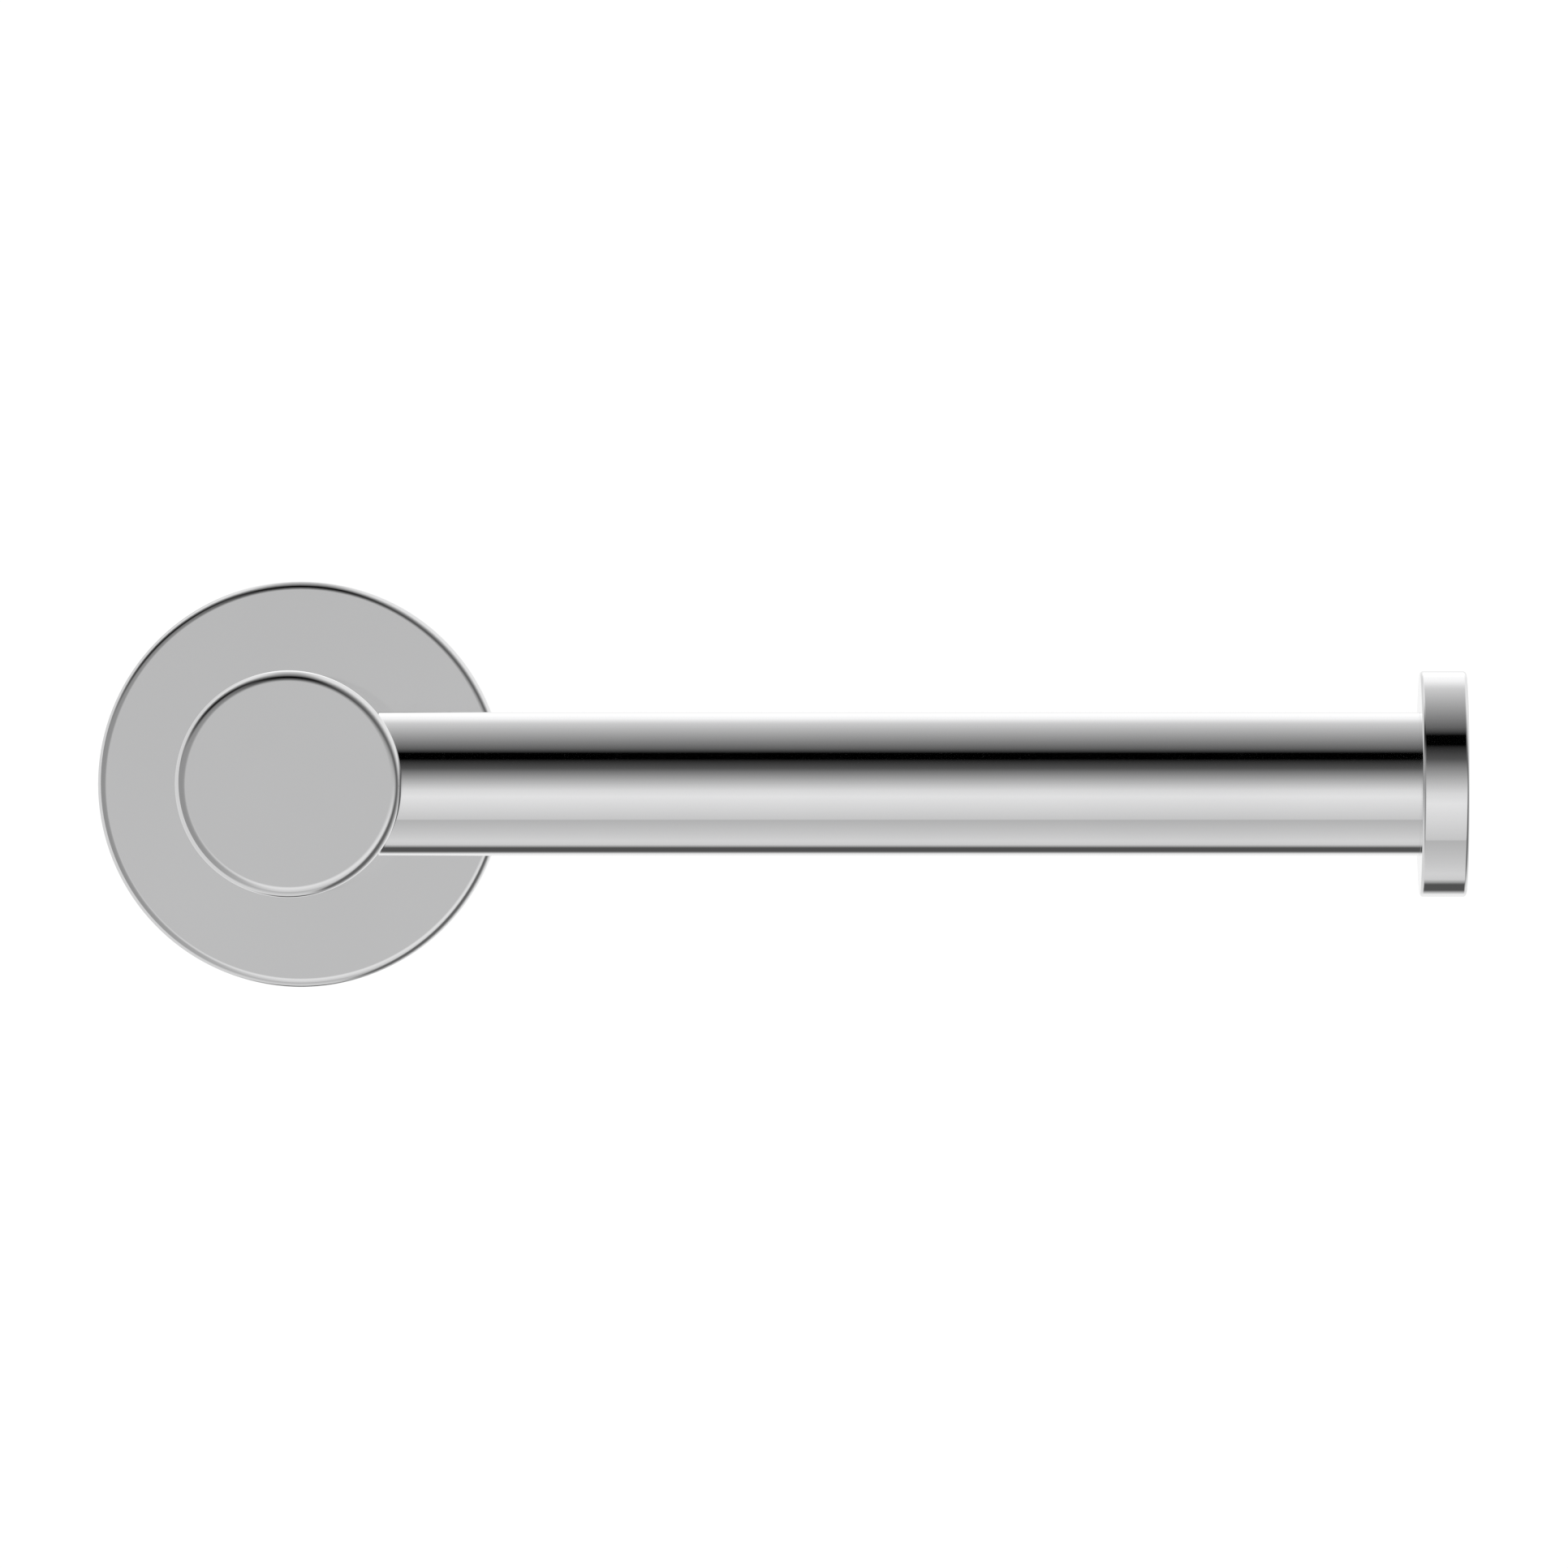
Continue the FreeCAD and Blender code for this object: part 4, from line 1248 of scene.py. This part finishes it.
@dataclass
class LocatingPin(Piece):
    """Hardened dowel with rounded ends."""

    end_rounding: float = 0.35 * MM

    node = "locating_pin"
    name = "locating_dowel"
    slot = Slot.STAINLESS
    finishes = (STAINLESS,)

    def shape(self, skin: Skin) -> None:
        """Adds the whole section."""
        low, high = reach(self.node)
        skin.turn(Spindle(Axis.Y, (0.0, 0.0, PIN_HEIGHT)), [
            Corner(high.y, 0), Corner(high.y, PIN_RADIUS, self.end_rounding),
            Corner(low.y, PIN_RADIUS, self.end_rounding), Corner(low.y, 0),
        ], SMALL_ROUND)


@dataclass
class GrubScrew(Piece):
    """Cone-point grub screw that points up, with its socket underneath."""

    node: str
    name: str
    thread: Thread
    socket: HexSocket
    point_flat: float = 0.5 * MM

    slot = Slot.STAINLESS
    finishes = (STAINLESS,)

    def shape(self, skin: Skin) -> None:
        """Adds the thread with its cone point, the two ends and the socket."""
        low, high = reach(self.node)
        spindle = Spindle(Axis.Z, ((low.x + high.x) / 2, (low.y + high.y) / 2, 0.0))
        near, far = Corner(low.z, self.thread.root), Corner(high.z, self.point_flat)
        self.thread.cut(skin, spindle, near, far, Side.OUTER)
        skin.turn(spindle, [Corner(high.z, 0), far], SMALL_ROUND)
        skin.turn(spindle, [near, Corner(low.z, self.socket.mouth)], SMALL_ROUND)
        self.socket.cut(skin, spindle, low.z, 1)


def grey(level: float) -> tuple[float, float, float, float]:
    """An even grey of this brightness, as a colour socket takes it."""
    return (level, level, level, 1.0)


@dataclass(frozen=True)
class Band:
    """Brightness of the studio at an angle round the bar, from straight ahead and upwards."""

    angle: float
    level: float


@dataclass(frozen=True)
class Card:
    """Round card with a soft edge that stands to one side of the studio.

    Attributes:
        bearing: Degrees from straight ahead, to the right.
        height: Degrees above the floor.
        core: Angle from its middle within which it is plain.
        rim: Angle from its middle at which it has faded away.
        level: Brightness.
    """

    bearing: float
    height: float
    core: float
    rim: float
    level: float

    def lay_over(self, graph: Graph, way: bpy.types.NodeSocket, clear: bpy.types.NodeSocket,
                 shown: bpy.types.NodeSocket) -> bpy.types.NodeSocket:
        """Covers part of the studio with the card.

        Args:
            graph: The world's shader.
            way: The direction looked in.
            clear: 0 in the middle of the studio, which the card leaves free, and 1 beside it.
            shown: Brightness without the card.

        Returns:
            Brightness with the card.
        """
        bearing, height = math.radians(self.bearing), math.radians(self.height)
        level = math.cos(height)
        middle = (math.sin(bearing) * level, -math.cos(bearing) * level, math.sin(height))
        near = graph.add("VectorMath", {0: way, 1: middle}, operation="DOT_PRODUCT").outputs["Value"]
        rim, core = math.cos(math.radians(self.rim)), math.cos(math.radians(self.core))
        cover = graph.math("MULTIPLY", graph.spread(near, 0.0, 1.0, rim, core, "SMOOTHSTEP"), clear)
        return graph.blend(cover, shown, grey(self.level))


@dataclass(frozen=True)
class Studio:
    """Soft studio: pale all round, with the bands and the cards that chrome shows."""

    bands: tuple[Band, ...] = (
        # behind and low down, pale and then dark
        Band(-165, 0.95), Band(-155, 1.0), Band(-140, 0.1), Band(-125, 0.1),
        # below
        Band(-115, 0.75), Band(-105, 0.8), Band(-60, 0.55),
        # ahead, brightest a little below the level of the bar
        Band(-59, 0.7), Band(-20, 0.95), Band(-10, 0.85), Band(0, 0.62), Band(10, 0.4), Band(25, 0.1),
        # dark stretch above the front
        Band(38, 0.02), Band(40, 0.0), Band(51, 0.0),
        # overhead, brighter towards the back
        Band(60, 0.15), Band(115, 0.75), Band(130, 1.1), Band(155, 1.3), Band(165, 0.95),
    )
    cards: tuple[Card, ...] = (
        Card(-55, -5, 0, 70, 0.35),
        Card(-65, 50, 0, 35, 0.0),
        Card(90, -15, 0, 60, 0.0),
        Card(105, -30, 40, 55, 0.15),
        Card(60, 45, 0, 45, 0.2),
        Card(165, 25, 45, 105, 0.95),
        Card(-140, -15, 55, 60, 0.8),
    )
    clear_half_width: float = 0.05
    clear_fade: float = 0.3
    backdrop_level: float = 1.05
    diffuse_level: float = 0.75
    key_power: float = 6.0
    key_size: float = 1.6
    key_place: tuple[float, float, float] = (0.1, -0.3, 1.3)
    key_tilt: float = math.radians(-12)

    def build(self) -> None:
        """Makes the world and the soft light overhead."""
        world = bpy.data.worlds.new("studio")
        world.use_nodes = True
        bpy.context.scene.world = world
        graph = Graph(world.node_tree)
        way = graph.add("TexCoord").outputs["Generated"]
        apart = graph.add("SeparateXYZ", {"Vector": way}).outputs
        turn = graph.math("ARCTAN2", apart["Z"], graph.math("MULTIPLY", apart["Y"], -1.0))
        place = graph.math("ADD", graph.math("DIVIDE", turn, math.tau), 0.5)
        shown = graph.ramp(place, [(band.angle / 360 + 0.5, (band.level,) * 3) for band in self.bands])
        clear = graph.spread(graph.math("ABSOLUTE", apart["X"]), 0.0, 1.0, self.clear_half_width,
                             self.clear_half_width + self.clear_fade, "SMOOTHSTEP")
        for card in self.cards:
            shown = card.lay_over(graph, way, clear, shown)
        rays = graph.add("LightPath").outputs
        shown = graph.blend(rays["Is Glossy Ray"], grey(self.diffuse_level), shown)
        shown = graph.blend(rays["Is Camera Ray"], shown, grey(self.backdrop_level))
        background = graph.add("Background", {"Color": shown, "Strength": 1.0})
        graph.add("OutputWorld", {"Surface": background.outputs["Background"]})
        self._lamp()

    def _lamp(self) -> None:
        """Hangs the soft light overhead."""
        lamp = bpy.data.lights.new("overhead_softbox", "AREA")
        lamp.shape, lamp.size, lamp.energy = "DISK", self.key_size, self.key_power
        holder = bpy.data.objects.new("overhead_softbox", lamp)
        holder.location = self.key_place
        holder.rotation_euler = (self.key_tilt, 0.0, 0.0)
        holder.visible_glossy = False
        bpy.context.scene.collection.objects.link(holder)


@dataclass(frozen=True)
class Floor:
    """Plain pale floor well below the holder, which fades out at its rim."""

    height: float = -0.135
    radius: float = 0.5
    fade: float = 0.35
    segments: int = 96
    shade: float = 0.86

    def build(self) -> None:
        """Makes the floor and marks it as staging."""
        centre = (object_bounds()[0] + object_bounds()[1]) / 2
        mesh = bpy.data.meshes.new("floor")
        work = bmesh.new()
        bmesh.ops.create_circle(work, cap_ends=True, segments=self.segments, radius=self.radius)
        work.to_mesh(mesh)
        work.free()
        floor = bpy.data.objects.new("floor", mesh)
        floor.location = (centre.x, centre.y, self.height)
        floor.visible_glossy = False
        bpy.context.scene.collection.objects.link(floor)
        floor.data.materials.append(self._material())
        floor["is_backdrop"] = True

    def _material(self) -> bpy.types.Material:
        """Matt pale paint that turns clear towards the rim, and is clear from below."""
        material = bpy.data.materials.new("pale_floor")
        material.use_nodes = True
        graph = Graph(material.node_tree)
        place = graph.add("TexCoord").outputs["Object"]
        distance = graph.add("VectorMath", {0: place}, operation="LENGTH").outputs["Value"]
        clear = graph.spread(distance, 0.0, 1.0, self.fade * self.radius, self.radius)
        clear = graph.math("MAXIMUM", clear, graph.add("NewGeometry").outputs["Backfacing"])
        paint = graph.add("BsdfDiffuse", {"Color": grey(self.shade)})
        nothing = graph.add("BsdfTransparent")
        mix = graph.add("MixShader", {0: clear, 1: paint.outputs[0], 2: nothing.outputs[0]})
        graph.add("OutputMaterial", {"Surface": mix.outputs[0]})
        return material


@dataclass(frozen=True)
class Camera:
    """Long lens that looks straight at the wall, level with the bar."""

    across: float = 65.4 * MM
    distance: float = 2762.0 * MM
    lens: float = 466.8
    sensor: float = 36.0
    near: float = 0.05
    far: float = 20.0

    def build(self) -> None:
        """Makes the camera and gives it to the scene."""
        data = bpy.data.cameras.new("camera")
        data.lens, data.sensor_width = self.lens, self.sensor
        data.clip_start, data.clip_end = self.near, self.far
        camera = bpy.data.objects.new("camera", data)
        camera.location = (self.across, -self.distance, 0.0)
        camera.rotation_euler = (math.radians(90), 0.0, 0.0)
        bpy.context.scene.collection.objects.link(camera)
        bpy.context.scene.camera = camera


def main() -> None:
    """Builds every piece, then the studio, the floor and the camera."""
    logging.basicConfig(level=logging.INFO, format="%(message)s")
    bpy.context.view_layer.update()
    pieces: list[Piece] = [
        WallBracket(),
        FlangeCup(),
        PostRod(),
        PostScrew(),
        LockWasher(),
        LocatingPin(),
        GrubScrew("set_screw", "flange_set_screw", M4, HexSocket(2 * MM, 2 * MM)),
        BarTube(),
        Plug("bar_root_plug", "root_plug_brass", M8, mouth_at_start=True),
        Spigot(),
        GrubScrew("bar_lock_screw", "bar_lock_grub_screw", M5, HexSocket(2.5 * MM, 3 * MM)),
        Plug("bar_end_plug", "end_plug_brass", M6, mouth_at_start=False),
        CapStud(),
        EndCap(),
    ]
    for piece in pieces:
        piece.build()
    bpy.context.scene.view_settings.view_transform = "Standard"
    Studio().build()
    Floor().build()
    Camera().build()
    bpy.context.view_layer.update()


if __name__ == "__main__":
    main()
